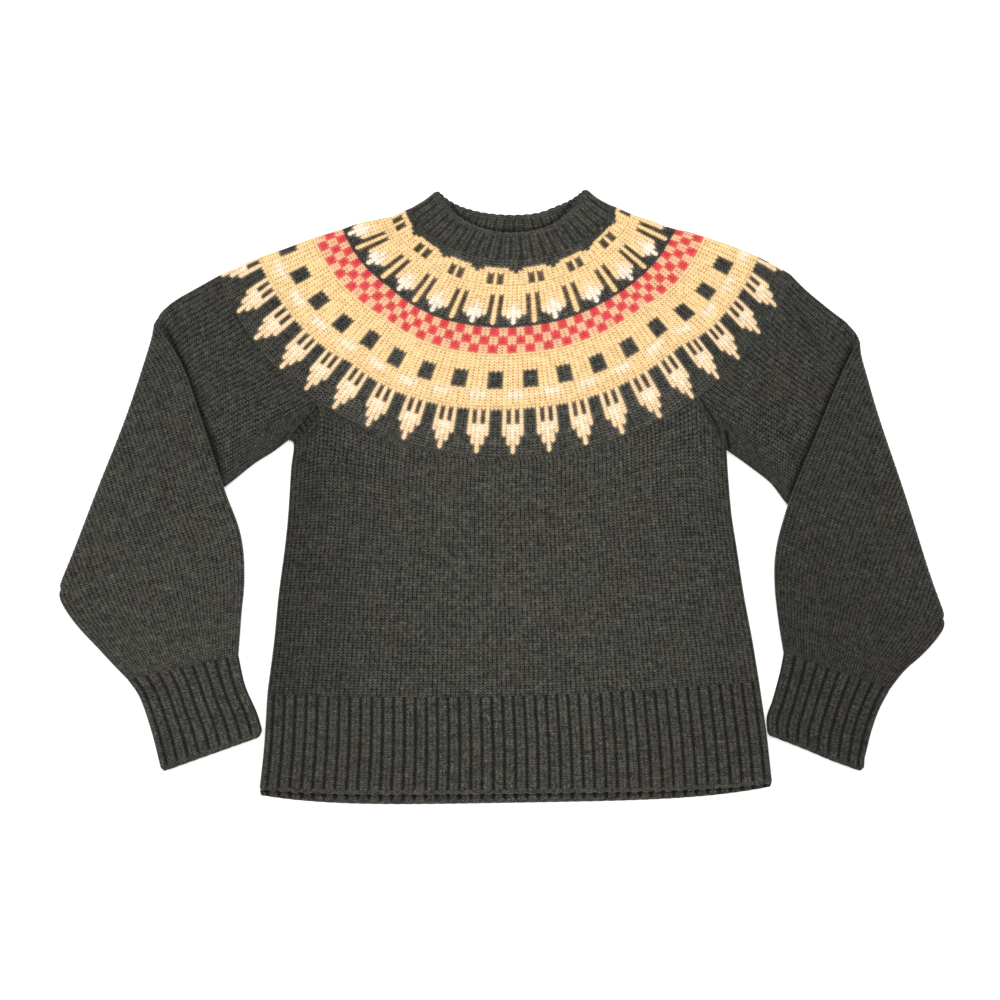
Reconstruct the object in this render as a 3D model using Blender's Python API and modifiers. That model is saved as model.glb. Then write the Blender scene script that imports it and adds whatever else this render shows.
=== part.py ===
"""Fair isle jumper lying flat on its back, front up, with both sleeves folded over at the elbow.

Every piece is a wall of knitted cloth. Two layers lie on each other wherever the jumper is a tube,
so each piece is drawn as rings that run along its front from left to right and home along its back.
X is across the jumper, Y runs up towards the neck and Z is up from the surface that it lies on.
Sizes below are in millimetres; vertices are written in metres.
"""
import math

import bmesh
import bpy
from mathutils import Vector

MM = 0.001

# Cloth
WALL = 2.7                  # one layer of knitted cloth
LAYERS = 7.0                # the two layers of a flattened tube, outside to outside
FOLD_GAP = 0.6              # between a folded sleeve and the sleeve it lies on
SEAM_GAP = 0.3              # between two pieces at a seam
SIDE_RADIUS = LAYERS / 2    # the soft roll where the front turns to the back
SEAM_EDGE = 1.2             # upright part of a panel's edge at the side seam
SEAM_BAND = 2.5             # stretch beside a curved seam that runs square to it

# Round yoke: each edge is half an ellipse, from shoulder fold to shoulder fold
NECK_ARC = {"across": 10.5, "up": 299.4, "half_width": 101.5, "drop": 62.9, "left": 10.0, "right": 10.0}
YOKE_ARC = {"across": 3.5, "up": 280.5, "half_width": 295.0, "drop": 241.0, "left": 14.8, "right": 14.2}
COLLAR_ARC = {"across": 11.0, "up": 317.6, "half_width": 74.2, "drop": 54.1, "left": 14.0, "right": 14.0}
BACK_NECK_RISE = 0.73       # the back neck dips this share of what the front dips
BACK_YOKE_RISE = 0.93
BACK_COLLAR_RISE = 0.56
SHOULDER_BOW = 3.5          # how far the shoulder folds bow out, two thirds of the way to the yoke's edge
YOKE_STEPS = 32             # spans of the yoke from one shoulder fold to the other
END_SPAN = 2.0              # the spans beside a shoulder fold are this much wider than the rest
SLEEVE_STEPS = 7            # of these, the spans that each sleeve takes on the front and on the back
YOKE_ROWS = 4
COLLAR_ROWS = 3
RAGLAN_STEPS = 2            # spans of the short underarm seam

# Body: the side edges at each level, from the armpits to the hem rib
LEFT_ARMPIT = (-213.5, 55.5)
RIGHT_ARMPIT = (225.5, 45.5)
BODY_ROWS = (
    # left across, left up, right across, right up
    (*LEFT_ARMPIT, *RIGHT_ARMPIT),
    (-210.5, 0.5, 227.5, 0.5),
    (-214.5, -50.5, 235.5, -55.0),
    (-220.5, -114.5, 244.5, -114.5),
    (-234.5, -198.5, 257.5, -185.5),
)
RIB_TOP_SAG = 8.5           # how far the rib's top dips below its ends at the centre
FRONT_RIB_ROWS = (
    # left across, left up, right across, right up, sag
    (-234.5, -198.5, 257.5, -185.5, RIB_TOP_SAG),
    (-238.0, -248.0, 265.0, -240.0, 8.0),
    (-242.5, -295.0, 270.0, -289.0, 7.0),
)
BACK_RIB_ROWS = (
    (-234.5, -198.5, 257.5, -185.5, RIB_TOP_SAG),
    (-238.0, -248.0, 265.0, -240.0, 8.5),
    (-242.0, -299.0, 269.5, -291.0, 11.5),
)

# Sleeves: shoulder-side and underarm-side edges of each section, from the yoke to the cuff seam
LEFT_SLEEVE = {
    "upper": (
        # shoulder across, shoulder up, underarm across, underarm up, share of the way to the fold
        (-305.0, 204.0, -245.0, 34.0, 0.2),
        (-326.5, 192.5, -277.5, 8.5, 0.45),
        (-337.0, 183.5, -350.0, -37.0, 0.75),
    ),
    "fold": (-344.5, 174.5, -441.5, -94.5),
    "lower": (
        # shoulder across, shoulder up, underarm across, underarm up
        (-330.0, 155.0, -436.0, -104.0),
        (-317.5, 131.5, -437.5, -111.0),
        (-296.5, 74.5, -434.0, -118.0),
        (-277.5, 11.5, -428.5, -126.5),
        (-260.5, -42.5, -416.0, -141.0),
        (-257.5, -83.5, -402.5, -154.5),
        (-260.5, -119.5, -388.0, -169.0),
        (-263.5, -159.5, -373.5, -183.5),
    ),
    "cuff": (
        (-263.5, -159.5, -373.5, -183.5),
        (-257.5, -190.5, -361.5, -200.5),
        (-245.5, -218.5, -349.0, -236.0),
        (-240.0, -233.5, -339.5, -274.5),
    ),
}
RIGHT_SLEEVE = {
    "upper": (
        (308.0, 202.0, 249.5, 27.5, 0.2),
        (327.0, 185.5, 285.5, -9.5, 0.45),
        (344.0, 173.0, 358.0, -62.0, 0.75),
    ),
    "fold": (357.5, 157.5, 441.5, -124.5),
    "lower": (
        (340.5, 138.0, 436.0, -134.0),
        (333.0, 120.5, 435.0, -140.0),
        (313.5, 64.5, 429.0, -147.0),
        (286.5, -7.5, 421.0, -154.0),
        (274.5, -57.5, 409.0, -165.0),
        (273.5, -88.5, 402.0, -173.0),
        (277.5, -126.5, 394.0, -182.0),
        (282.5, -157.5, 386.5, -192.5),
    ),
    "cuff": (
        (282.5, -157.5, 386.5, -192.5),
        (279.0, -176.0, 375.0, -214.0),
        (272.5, -205.0, 366.0, -243.0),
        (267.6, -239.5, 361.5, -272.5),
    ),
}
ROLL_STEPS = 5              # spans round the elbow fold
LIFT_LEDGE = 8.0            # the folded sleeve stays up this far past the sleeve under it,
LIFT_RUN = 34.0             # then comes down to the surface over this distance

CAP_ANGLES = (45.0, 0.0, -45.0)     # round the roll at a side, from the front to the back

CHARCOAL = (0.045, 0.042, 0.035)
TAN = (0.93, 0.62, 0.27)


def blend(start, end, share):
    """The value or point that lies a share of the way from start to end."""
    return start + (end - start) * share


def arc_line(arc, steps):
    """Points along the front of a yoke edge, from the left shoulder fold to the right one."""
    points = []
    widest = steps + 2 * (END_SPAN - 1)
    for step in range(steps + 1):
        wide_ends = (END_SPAN - 1) * (min(step, 1) + max(step + 1 - steps, 0))
        angle = math.radians(blend(arc["left"], 180.0 - arc["right"], (step + wide_ends) / widest))
        across = arc["across"] - arc["half_width"] * math.cos(angle)
        up = arc["up"] - arc["drop"] * math.sin(angle)
        points.append(Vector((across, up)))
    return points


def raised(line, rise):
    """The back edge that goes with a front edge: the same ends, and a shallower dip."""
    first, last = line[0], line[-1]
    chord = last - first
    points = []
    for point in line:
        share = (point - first).dot(chord) / chord.length_squared
        points.append(blend(blend(first, last, share), point, rise))
    return points


def straight(first, last, shares, sag=0.0):
    """Points from first to last at the given shares of the way, with a dip in the middle."""
    drop = Vector((0.0, -sag))
    return [blend(first, last, share) + drop * 4 * share * (1 - share) for share in shares]


def shares_along(line):
    """How far along a line each of its points lies, from 0 to 1."""
    lengths = [0.0]
    for before, after in zip(line, line[1:]):
        lengths.append(lengths[-1] + (after - before).length)
    return [length / lengths[-1] for length in lengths]


def shares_across(line):
    """How far across each of a line's points lies, from 0 to 1."""
    width = line[-1].x - line[0].x
    return [(point.x - line[0].x) / width for point in line]


def shifted(line, step):
    """A flat line moved sideways, towards its left as it runs."""
    points = []
    for index, point in enumerate(line):
        run = line[min(index + 1, len(line) - 1)] - line[max(index - 1, 0)]
        points.append(point + Vector((-run.y, run.x)).normalized() * step)
    return points


def raglan(top, armpit):
    """The underarm seam from the yoke's edge to the armpit, without its first point."""
    return [blend(top, armpit, (step + 1) / RAGLAN_STEPS) for step in range(RAGLAN_STEPS)]


def roll(end, outward, angles):
    """Points round the side roll at one end of a ring: (x, y) and height above the back."""
    centre = end - outward * SIDE_RADIUS
    points = []
    for angle in angles:
        turn = math.radians(angle)
        reach = centre + outward * SIDE_RADIUS * math.cos(turn)
        points.append((reach, SIDE_RADIUS * (1 + math.sin(turn))))
    return points


def flat_ring(front, back):
    """A closed ring of a flattened tube: the front left to right, then the back right to left."""
    left_out = (front[0] - front[1]).normalized()
    right_out = (front[-1] - front[-2]).normalized()
    left = front[0] - left_out * SIDE_RADIUS
    right = front[-1] - right_out * SIDE_RADIUS
    front_line = [left] + front[1:-1] + [right]
    back_line = [left] + back[1:-1] + [right]
    ring = [(point, LAYERS) for point in front_line]
    ring += roll(front[-1], right_out, CAP_ANGLES)
    ring += [(point, 0.0) for point in reversed(back_line)]
    ring += roll(front[0], left_out, reversed(CAP_ANGLES))
    return ring


def panel(half, facing):
    """Half a ring, cut half-way round each side roll, with an upright edge where it is sewn."""
    edges = [SIDE_RADIUS + facing * step for step in (SEAM_GAP / 2, SEAM_GAP / 2 + SEAM_EDGE)]
    first, last = half[0][0], half[-1][0]
    opening = [(first, height) for height in edges]
    closing = [(last, height) for height in reversed(edges)]
    return opening + half[1:-1] + closing


def front_panel(ring, spans):
    """The front's half of a ring."""
    return panel(ring[-2:] + ring[:spans + 3], 1)


def back_panel(ring, spans):
    """The back's half of a ring."""
    return panel(ring[spans + 2:-1], -1)


def laid(ring):
    """A ring's points in space, where it lies on the surface with its front up."""
    return [Vector((point.x, point.y, height)) for point, height in ring]


def yarn(name, colour):
    """Matt woollen yarn."""
    material = bpy.data.materials.new(name)
    material.use_nodes = True
    shader = material.node_tree.nodes["Principled BSDF"]
    shader.inputs["Base Color"].default_value = (*colour, 1.0)
    shader.inputs["Roughness"].default_value = 0.95
    shader.inputs["Metallic"].default_value = 0.0
    material.diffuse_color = (*colour, 1.0)
    return material


def knitted_piece(name, rings, closed, colour, collection):
    """One piece of cloth: a skin over the rings, thickened inwards by the wall."""
    shape = bmesh.new()
    rows = [[shape.verts.new(point * MM) for point in ring] for ring in rings]
    spans = len(rows[0]) if closed else len(rows[0]) - 1
    for row, below in zip(rows, rows[1:]):
        for index in range(spans):
            beside = (index + 1) % len(row)
            shape.faces.new((row[index], below[index], below[beside], row[beside]))
    mesh = bpy.data.meshes.new(name)
    shape.to_mesh(mesh)
    shape.free()
    mesh.shade_smooth()
    mesh.materials.append(yarn(name, colour))
    piece = bpy.data.objects.new(name, mesh)
    wall = piece.modifiers.new("Wall", "SOLIDIFY")
    wall.thickness = WALL * MM
    wall.offset = -1.0
    wall.use_rim = True
    collection.objects.link(piece)
    return piece


def yoke_rings():
    """Rings from the neck seam out to the tips of the pattern."""
    inner = arc_line(NECK_ARC, YOKE_STEPS)
    outer = arc_line(YOKE_ARC, YOKE_STEPS)
    beside_seam = {0: (-SEAM_GAP / 2, -SEAM_BAND), YOKE_ROWS - 1: (SEAM_BAND, SEAM_GAP / 2)}
    rings = []
    for row in range(YOKE_ROWS):
        share = row / (YOKE_ROWS - 1)
        front = []
        for index, (near, far) in enumerate(zip(inner, outer)):
            point = blend(near, far, share)
            beside = Vector((near.y - far.y, far.x - near.x)).normalized()
            sideways = 2 * index / YOKE_STEPS - 1
            bow = SHOULDER_BOW * 27 / 4 * share * share * (1 - share)
            front.append(point + beside * bow * sideways * abs(sideways))
        back = raised(front, blend(BACK_NECK_RISE, BACK_YOKE_RISE, share))
        for step in beside_seam.get(row, (0.0,)):
            rings.append(laid(flat_ring(shifted(front, step), shifted(back, step))))
    return rings


def collar_rings():
    """Rings of the neckband, from its open top edge down to the neck seam."""
    top = arc_line(COLLAR_ARC, YOKE_STEPS)
    base = shifted(arc_line(NECK_ARC, YOKE_STEPS), SEAM_GAP / 2)
    rings = []
    for row in range(COLLAR_ROWS):
        share = row / (COLLAR_ROWS - 1)
        front = [blend(high, low, share) for high, low in zip(top, base)]
        rise = blend(BACK_COLLAR_RISE, BACK_NECK_RISE, share)
        rings.append(laid(flat_ring(front, raised(front, rise))))
    return rings


def body_top(rise):
    """The edge that the body shares with the raglan seams and the yoke."""
    edge = raised(arc_line(YOKE_ARC, YOKE_STEPS), rise)
    left = raglan(edge[SLEEVE_STEPS], Vector(LEFT_ARMPIT))
    right = raglan(edge[-1 - SLEEVE_STEPS], Vector(RIGHT_ARMPIT))
    return left[::-1] + edge[SLEEVE_STEPS:YOKE_STEPS + 1 - SLEEVE_STEPS] + right


def body_rings():
    """Rings of the body, from the yoke and armpits down to the hem rib."""
    tops = [body_top(1.0), body_top(BACK_YOKE_RISE)]
    shares = shares_across(tops[0])
    chord = straight(tops[0][0], tops[0][-1], shares)
    rings = []
    last = len(BODY_ROWS) - 1
    beside_seam = {0: (-SEAM_GAP / 2, -SEAM_BAND), last: (SEAM_BAND, SEAM_GAP / 2)}
    for row, (left_x, left_y, right_x, right_y) in enumerate(BODY_ROWS):
        flat = straight(Vector((left_x, left_y)), Vector((right_x, right_y)), shares,
                        RIB_TOP_SAG * row / last)
        fade = 1 - row / last
        lines = []
        for top in tops:
            bend = [(edge - base) * fade for edge, base in zip(top, chord)]
            lines.append([point + step for point, step in zip(flat, bend)])
        for step in beside_seam.get(row, (0.0,)):
            rings.append(flat_ring(*(shifted(line, step) for line in lines)))
    return rings


def rib_rings(table):
    """Rings of the hem rib, for the front's or the back's own length."""
    shares = shares_across(body_top(1.0))
    rings = []
    for row, (left_x, left_y, right_x, right_y, sag) in enumerate(table):
        line = straight(Vector((left_x, left_y)), Vector((right_x, right_y)), shares, sag)
        for step in (-SEAM_GAP / 2, -SEAM_BAND) if row == 0 else (0.0,):
            edge = shifted(line, step)
            rings.append(flat_ring(edge, edge))
    return rings


def sleeve_mouth(side, rise):
    """The sleeve's edge along the yoke and the raglan seam, left to right."""
    edge = raised(arc_line(YOKE_ARC, YOKE_STEPS), rise)
    if side < 0:
        along = edge[:SLEEVE_STEPS + 1]
        line = along + raglan(along[-1], Vector(LEFT_ARMPIT))
    else:
        along = edge[-1 - SLEEVE_STEPS:]
        line = raglan(along[0], Vector(RIGHT_ARMPIT))[::-1] + along
    return line


def ends(row, side):
    """A section's left and right ends, from its shoulder and underarm edges."""
    shoulder, underarm = Vector(row[0:2]), Vector(row[2:4])
    return (shoulder, underarm) if side < 0 else (underarm, shoulder)


def sleeve_rings(cut, side):
    """Rings of a sleeve in space, from the yoke round the elbow fold to the cuff seam."""
    mouths = [sleeve_mouth(side, 1.0), sleeve_mouth(side, BACK_YOKE_RISE)]
    shares = shares_along(mouths[0])
    chord = straight(mouths[0][0], mouths[0][-1], shares)
    rings = []
    for step in (-SEAM_GAP / 2, -SEAM_BAND):
        rings.append(laid(flat_ring(*(shifted(mouth, step) for mouth in mouths))))
    for row in cut["upper"]:
        flat = straight(*ends(row, side), shares)
        lines = []
        for mouth in mouths:
            bend = [(edge - base) * (1 - row[4]) for edge, base in zip(mouth, chord)]
            lines.append([point + step for point, step in zip(flat, bend)])
        rings.append(laid(flat_ring(*lines)))

    turn_height = LAYERS + FOLD_GAP / 2
    shoulder, underarm = Vector(cut["fold"][0:2]), Vector(cut["fold"][2:4])
    along = (underarm - shoulder).normalized()
    outward = Vector((along.y, -along.x)) * (1 if side < 0 else -1)
    inset = -outward * turn_height
    axis = straight(*(end + inset for end in ends(cut["fold"], side)), shares)
    fold_ring = flat_ring(axis, axis)
    for step in range(ROLL_STEPS + 1):
        turn = math.pi * step / ROLL_STEPS
        ring = []
        for point, height in fold_ring:
            reach = turn_height - height
            moved = point + outward * reach * math.sin(turn)
            ring.append(Vector((moved.x, moved.y, turn_height - reach * math.cos(turn))))
        rings.append(ring)

    lifts = lift_rule(cut)
    last = len(cut["lower"]) - 1
    for index, row in enumerate(cut["lower"]):
        line = straight(*ends(row, side), shares)
        steps = (-SEAM_BAND, -SEAM_GAP / 2) if index == last else (0.0,)
        for step in steps:
            edge = shifted(line, step)
            rings.append(folded_down(flat_ring(edge, edge), lifts))
    return rings


def lift_rule(cut):
    """The underarm edge of the sleeve beneath, as a point and a direction pointing clear of it."""
    start, elbow = Vector(cut["upper"][1][2:4]), Vector(cut["fold"][2:4])
    along = (elbow - start).normalized()
    clear = Vector((along.y, -along.x))
    if clear.y > 0:
        clear = -clear
    return start, clear


def folded_down(ring, rule):
    """A ring of the part that lies face down, raised where the upper sleeve is beneath it."""
    start, clear = rule
    points = []
    for point, height in ring:
        past = ((point - start).dot(clear) - LIFT_LEDGE) / LIFT_RUN
        ease = min(max(past, 0.0), 1.0)
        lift = (LAYERS + FOLD_GAP) * (1 - ease * ease * (3 - 2 * ease))
        points.append(Vector((point.x, point.y, lift + LAYERS - height)))
    return points


def cuff_rings(cut, side):
    """Rings of a cuff, face down on the surface, from the sleeve to its open end."""
    shares = shares_along(sleeve_mouth(side, 1.0))
    rings = []
    for index, row in enumerate(cut["cuff"]):
        line = straight(*ends(row, side), shares)
        steps = (SEAM_GAP / 2, SEAM_BAND) if index == 0 else (0.0,)
        for step in steps:
            edge = shifted(line, step)
            ring = flat_ring(edge, edge)
            rings.append([Vector((point.x, point.y, LAYERS - height)) for point, height in ring])
    return rings


def main():
    """Builds the jumper's ten pieces in a collection of their own."""
    for thing in list(bpy.data.objects):
        bpy.data.objects.remove(thing, do_unlink=True)
    jumper = bpy.data.collections.new("fair_isle_jumper")
    bpy.context.scene.collection.children.link(jumper)

    spans = len(body_top(1.0)) - 1
    body = body_rings()
    front_rib, back_rib = rib_rings(FRONT_RIB_ROWS), rib_rings(BACK_RIB_ROWS)
    for name, rings, half in (
        ("body_front", body, front_panel),
        ("body_back", body, back_panel),
        ("hem_rib_front", front_rib, front_panel),
        ("hem_rib_back", back_rib, back_panel),
    ):
        knitted_piece(name, [laid(half(ring, spans)) for ring in rings], False, CHARCOAL, jumper)

    knitted_piece("yoke", yoke_rings(), True, TAN, jumper)
    knitted_piece("neckband", collar_rings(), True, CHARCOAL, jumper)
    for hand, cut, side in (("left", LEFT_SLEEVE, -1), ("right", RIGHT_SLEEVE, 1)):
        knitted_piece("sleeve_" + hand, sleeve_rings(cut, side), True, CHARCOAL, jumper)
        knitted_piece("cuff_" + hand, cuff_rings(cut, side), True, CHARCOAL, jumper)


main()
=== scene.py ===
"""Fair isle jumper lying flat, front up, with both sleeves folded over at the elbow.

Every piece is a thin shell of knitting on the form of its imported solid: a fine outer skin in which each
leg of each stitch is a small raised patch, a plainer inner skin, and rims where the cloth ends.
Sizes are in millimetres until a mesh is written in metres. X runs across the jumper, Y up towards the
neck and Z up from the surface that it lies on.
"""
import functools
import math

import bpy
import numpy as np
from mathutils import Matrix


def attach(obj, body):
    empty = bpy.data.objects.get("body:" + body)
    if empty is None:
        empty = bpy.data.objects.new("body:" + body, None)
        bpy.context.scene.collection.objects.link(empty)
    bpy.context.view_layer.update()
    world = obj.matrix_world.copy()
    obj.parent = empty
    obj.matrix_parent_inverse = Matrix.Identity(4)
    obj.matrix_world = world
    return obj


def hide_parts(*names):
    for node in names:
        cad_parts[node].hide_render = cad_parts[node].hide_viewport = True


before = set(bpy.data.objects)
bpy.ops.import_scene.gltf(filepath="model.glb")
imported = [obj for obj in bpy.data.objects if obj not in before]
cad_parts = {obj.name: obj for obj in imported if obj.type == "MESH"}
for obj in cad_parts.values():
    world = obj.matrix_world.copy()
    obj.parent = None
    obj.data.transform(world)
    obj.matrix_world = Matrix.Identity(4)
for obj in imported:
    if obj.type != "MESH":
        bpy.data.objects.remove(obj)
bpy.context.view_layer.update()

bl_info = {
    "name": "Fair Isle Jumper",
    "version": (1, 0, 0),
    "blender": (4, 5, 0),
    "location": "3D View > Sidebar > Jumper",
    "description": "Knits a round-yoked fair isle jumper that lies flat with its sleeves folded over",
    "category": "Object",
}

MM = 0.001

# ---------------------------------------------------------------- sizes, in millimetres

WALL = 2.7                  # one layer of knitted cloth
LAYERS = 7.0                # the two layers of a flattened tube, outside to outside
FOLD_GAP = 0.6              # between a folded sleeve and the sleeve it lies on
SIDE_RADIUS = LAYERS / 2    # the soft roll where the front turns to the back

# Each edge of the yoke and the neckband is half an ellipse, from one shoulder fold to the other
NECK_ARC = {"across": 10.5, "up": 299.4, "half_width": 101.5, "drop": 62.9, "left": 10.0, "right": 10.0}
YOKE_ARC = {"across": 3.5, "up": 280.5, "half_width": 295.0, "drop": 241.0, "left": 14.8, "right": 14.2}
COLLAR_ARC = {"across": 11.0, "up": 317.6, "half_width": 74.2, "drop": 54.1, "left": 14.0, "right": 14.0}
BACK_NECK_RISE = 0.73       # the back neck dips this share of what the front dips
BACK_YOKE_RISE = 0.93
BACK_COLLAR_RISE = 0.56
SHOULDER_BOW = 9.5          # how far the shoulder folds bow out,
SHOULDER_PULL = 3.5         # and how far the pattern beside them is drawn in
SLEEVE_SHARE = 8 / 34       # the share of the yoke's edge that each sleeve takes

LEFT_ARMPIT = (-213.5, 55.5)
RIGHT_ARMPIT = (225.5, 45.5)
BODY_SIDES = (
    # left across, left up, right across, right up
    (*LEFT_ARMPIT, *RIGHT_ARMPIT),
    (-208.6, 50.5, 225.7, 38.0),
    (-210.8, 20.5, 227.4, 8.0),
    (-213.8, -24.5, 230.6, -24.5),
    (-217.1, -54.5, 235.6, -54.5),
    (-223.2, -99.5, 242.7, -99.5),
    (-227.6, -144.5, 251.2, -144.5),
    (-234.6, -198.5, 258.0, -185.5),
)
RIB_TOP_SAG = 8.5           # how far the rib's top dips below its ends at the centre
FRONT_RIB_SIDES = (
    # left across, left up, right across, right up, sag
    (-234.6, -198.5, 258.0, -185.5, RIB_TOP_SAG),
    (-237.6, -248.0, 265.8, -240.0, 8.0),
    (-242.5, -295.0, 271.2, -289.0, 7.0),
)
BACK_RIB_SIDES = (
    (-234.6, -198.5, 258.0, -185.5, RIB_TOP_SAG),
    (-237.6, -248.0, 265.8, -240.0, 8.5),
    (-242.3, -300.3, 271.2, -291.5, 12.1),
)

# Sleeve edges as they lie: before the elbow fold, at its ends, and on the part folded over
LEFT_SLEEVE = {
    "side": -1,
    "armpit": LEFT_ARMPIT,
    "fold": ((-344.5, 174.5), (-441.5, -94.5)),
    "shoulder": ((-305.0, 204.0), (-326.5, 192.5), (-337.0, 184.5)),
    "shoulder_over": ((-320.5, 131.5), (-300.3, 74.5), (-278.5, 11.5), (-260.5, -42.5), (-257.5, -83.5),
                      (-260.5, -119.5), (-263.5, -159.5)),
    "underarm": ((-245.0, 34.0), (-277.5, 8.5), (-350.0, -37.0)),
    "underarm_over": ((-427.5, -126.0), (-402.5, -154.5), (-388.6, -169.5), (-374.5, -184.0)),
    "cuff": (
        # shoulder side across and up, underarm side across and up
        (-263.5, -159.5, -374.5, -184.0),
        (-256.5, -190.5, -363.0, -200.9),
        (-244.5, -218.5, -350.6, -236.2),
        (-238.0, -240.5, -340.3, -277.0),
    ),
}
RIGHT_SLEEVE = {
    "side": 1,
    "armpit": RIGHT_ARMPIT,
    "fold": ((357.5, 157.5), (441.5, -124.5)),
    "shoulder": ((308.0, 202.0), (327.0, 185.5), (344.0, 173.0)),
    "shoulder_over": ((342.0, 120.5), (318.0, 64.5), (286.5, -7.5), (274.5, -57.5), (273.5, -88.5),
                      (277.5, -126.5), (282.5, -157.5)),
    "underarm": ((249.5, 27.5), (285.5, -9.5), (358.0, -62.0)),
    "underarm_over": ((423.5, -155.5), (404.0, -174.5), (396.5, -183.5), (389.2, -193.5)),
    "cuff": (
        (282.5, -157.5, 389.2, -193.5),
        (279.0, -176.0, 378.2, -214.5),
        (271.2, -205.0, 368.5, -243.5),
        (265.6, -222.0, 366.0, -259.5),
        (266.3, -239.5, 362.8, -277.5),
    ),
}
TURN_HEIGHT = LAYERS + FOLD_GAP / 2     # the elbow fold turns about a line this high
TURN_RUN = 17.0             # cloth taken up by the turn
LIFT_LEDGE = 8.0            # the folded sleeve stays up this far past the sleeve under it,
LIFT_RUN = 34.0             # then comes down to the surface over this distance

SOFT_CORNERS = {
    # corner across and up, a point on each of its two edges, radius
    "sleeve_left": ((-441.5, -94.5, -344.5, 174.5, -402.5, -154.5, 20.0),
                    (-345.5, 178.5, -441.5, -94.5, -305.0, 205.0, 17.0)),
    "sleeve_right": ((442.0, -124.5, 357.5, 157.5, 402.0, -173.0, 20.0),
                     (358.5, 160.5, 441.5, -124.5, 308.0, 203.0, 7.0)),
    "hem": ((-242.4, -300.0, -237.6, -248.0, -215.0, -305.5, 3.5),
            (271.2, -291.0, 265.8, -240.0, 245.0, -298.0, 5.0)),
    "neckband": ((-61.0, 304.5, -89.5, 288.5, -53.8, 295.5, 5.0),
                 (83.0, 304.5, 110.5, 288.5, 75.8, 295.5, 6.0)),
    "cuff_left": ((-340.3, -277.0, -363.0, -200.9, -238.0, -240.5, 5.0),
                  (-238.0, -240.5, -256.5, -190.5, -340.3, -277.0, 8.0)),
    "cuff_right": ((362.8, -277.5, 366.0, -259.5, 266.3, -239.5, 6.0),
                   (266.3, -239.5, 265.6, -222.0, 362.8, -277.5, 4.0)),
}

SETTLED = (
    # at across and up, shifted across and up, reach: small shifts of the cloth where it was laid
    (-379.0, 83.0, 3.6, 0.0, 75.0),
    (-441.0, -95.0, -2.0, 0.0, 35.0),
    (367.0, 90.0, -4.0, 0.0, 75.0),
    (360.5, 140.0, -0.8, 0.0, 17.0),
    (356.0, 161.0, 2.4, 1.4, 15.0),
    (-110.0, 280.0, 0.6, -1.7, 12.0),
    (-143.0, 267.0, 0.0, 1.4, 10.0),
    (-218.0, 246.0, 0.4, -1.5, 22.0),
    (171.0, 267.0, -0.2, -1.4, 12.0),
    (80.0, 303.0, 0.6, 1.4, 8.0),
    (53.0, 292.0, 0.5, 2.6, 13.0),
    (442.0, -132.0, 3.2, 0.5, 40.0),
    (-308.0, 203.0, -1.5, 3.2, 38.0),
    (-342.0, 176.0, -2.5, 1.0, 14.0),
    (328.0, 188.0, 0.8, 1.8, 30.0),
    (74.0, 298.0, 0.5, 4.0, 18.0),
    (-62.0, 304.0, -2.0, 1.8, 12.0),
    (113.0, 287.0, -1.5, 2.5, 14.0),
    (330.0, -264.0, 0.0, -0.8, 18.0),
    (364.5, -262.0, -1.6, 0.0, 9.0),
    (270.0, 8.0, 2.0, 4.0, 20.0),
    (-230.0, 45.0, 0.0, -1.6, 15.0),
)

CREASES = (
    # from across and up, to across and up, half width, rise (below zero is a trough)
    (-320.5, 180.0, -314.5, 134.0, 4.0, -1.6),
    (-325.0, 168.0, -300.0, 96.0, 7.0, 0.9),
    (-210.5, 58.5, -176.0, 97.0, 1.8, -0.6),
    (-203.0, 57.0, -178.0, 86.0, 1.8, -0.5),
    (-193.0, 61.0, -184.0, 74.0, 1.8, -0.5),
    (-207.0, 66.0, -190.0, 90.0, 2.4, 0.7),
    (225.0, 47.0, 191.5, 102.5, 1.8, -0.9),
    (217.0, 49.0, 196.0, 86.0, 1.8, -0.6),
    (222.0, 58.0, 203.0, 92.0, 2.4, 0.7),
    (297.5, 189.5, 326.0, 112.5, 5.0, -1.4),
    (312.0, 178.0, 341.0, 104.0, 6.0, 0.8),
    (-150.0, 20.0, -172.0, -160.0, 16.0, 0.7),
    (120.0, 10.0, 150.0, -150.0, 20.0, 0.6),
    (-60.0, -20.0, -40.0, -170.0, 14.0, -0.6),
    (40.0, -60.0, 10.0, -175.0, 18.0, 0.5),
    (-380.0, 20.0, -330.0, -140.0, 12.0, 0.8),
    (385.0, -10.0, 340.0, -150.0, 12.0, 0.8),
    (-345.0, 60.0, -300.0, -100.0, 10.0, -0.7),
    (350.0, 60.0, 315.0, -110.0, 10.0, -0.7),
)

PAINTED_GAP_SHADOWS = (
    # painted shadows: points along a gap or a deep groove where shade is painted, half width, and the height
    # that it stays below
    (((-338.5, 172.5), (-330.0, 157.5), (-318.5, 131.5), (-308.5, 106.5), (-297.5, 74.5), (-284.0, 36.5),
      (-278.5, 10.0)), 2.8, 8.5),
    (((355.5, 156.5), (349.5, 146.5), (339.0, 123.5), (329.5, 101.5), (314.5, 64.5), (300.5, 31.5),
      (285.0, -8.5)), 3.0, 8.5),
    (((-52.0, 296.5), (-45.0, 283.0), (-33.5, 273.5), (-20.5, 268.5), (-6.0, 265.5), (12.0, 264.5),
      (31.0, 265.5), (45.0, 270.5), (58.0, 279.0), (68.0, 291.0), (76.0, 303.0)), 1.5, 4.0),
)

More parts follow.
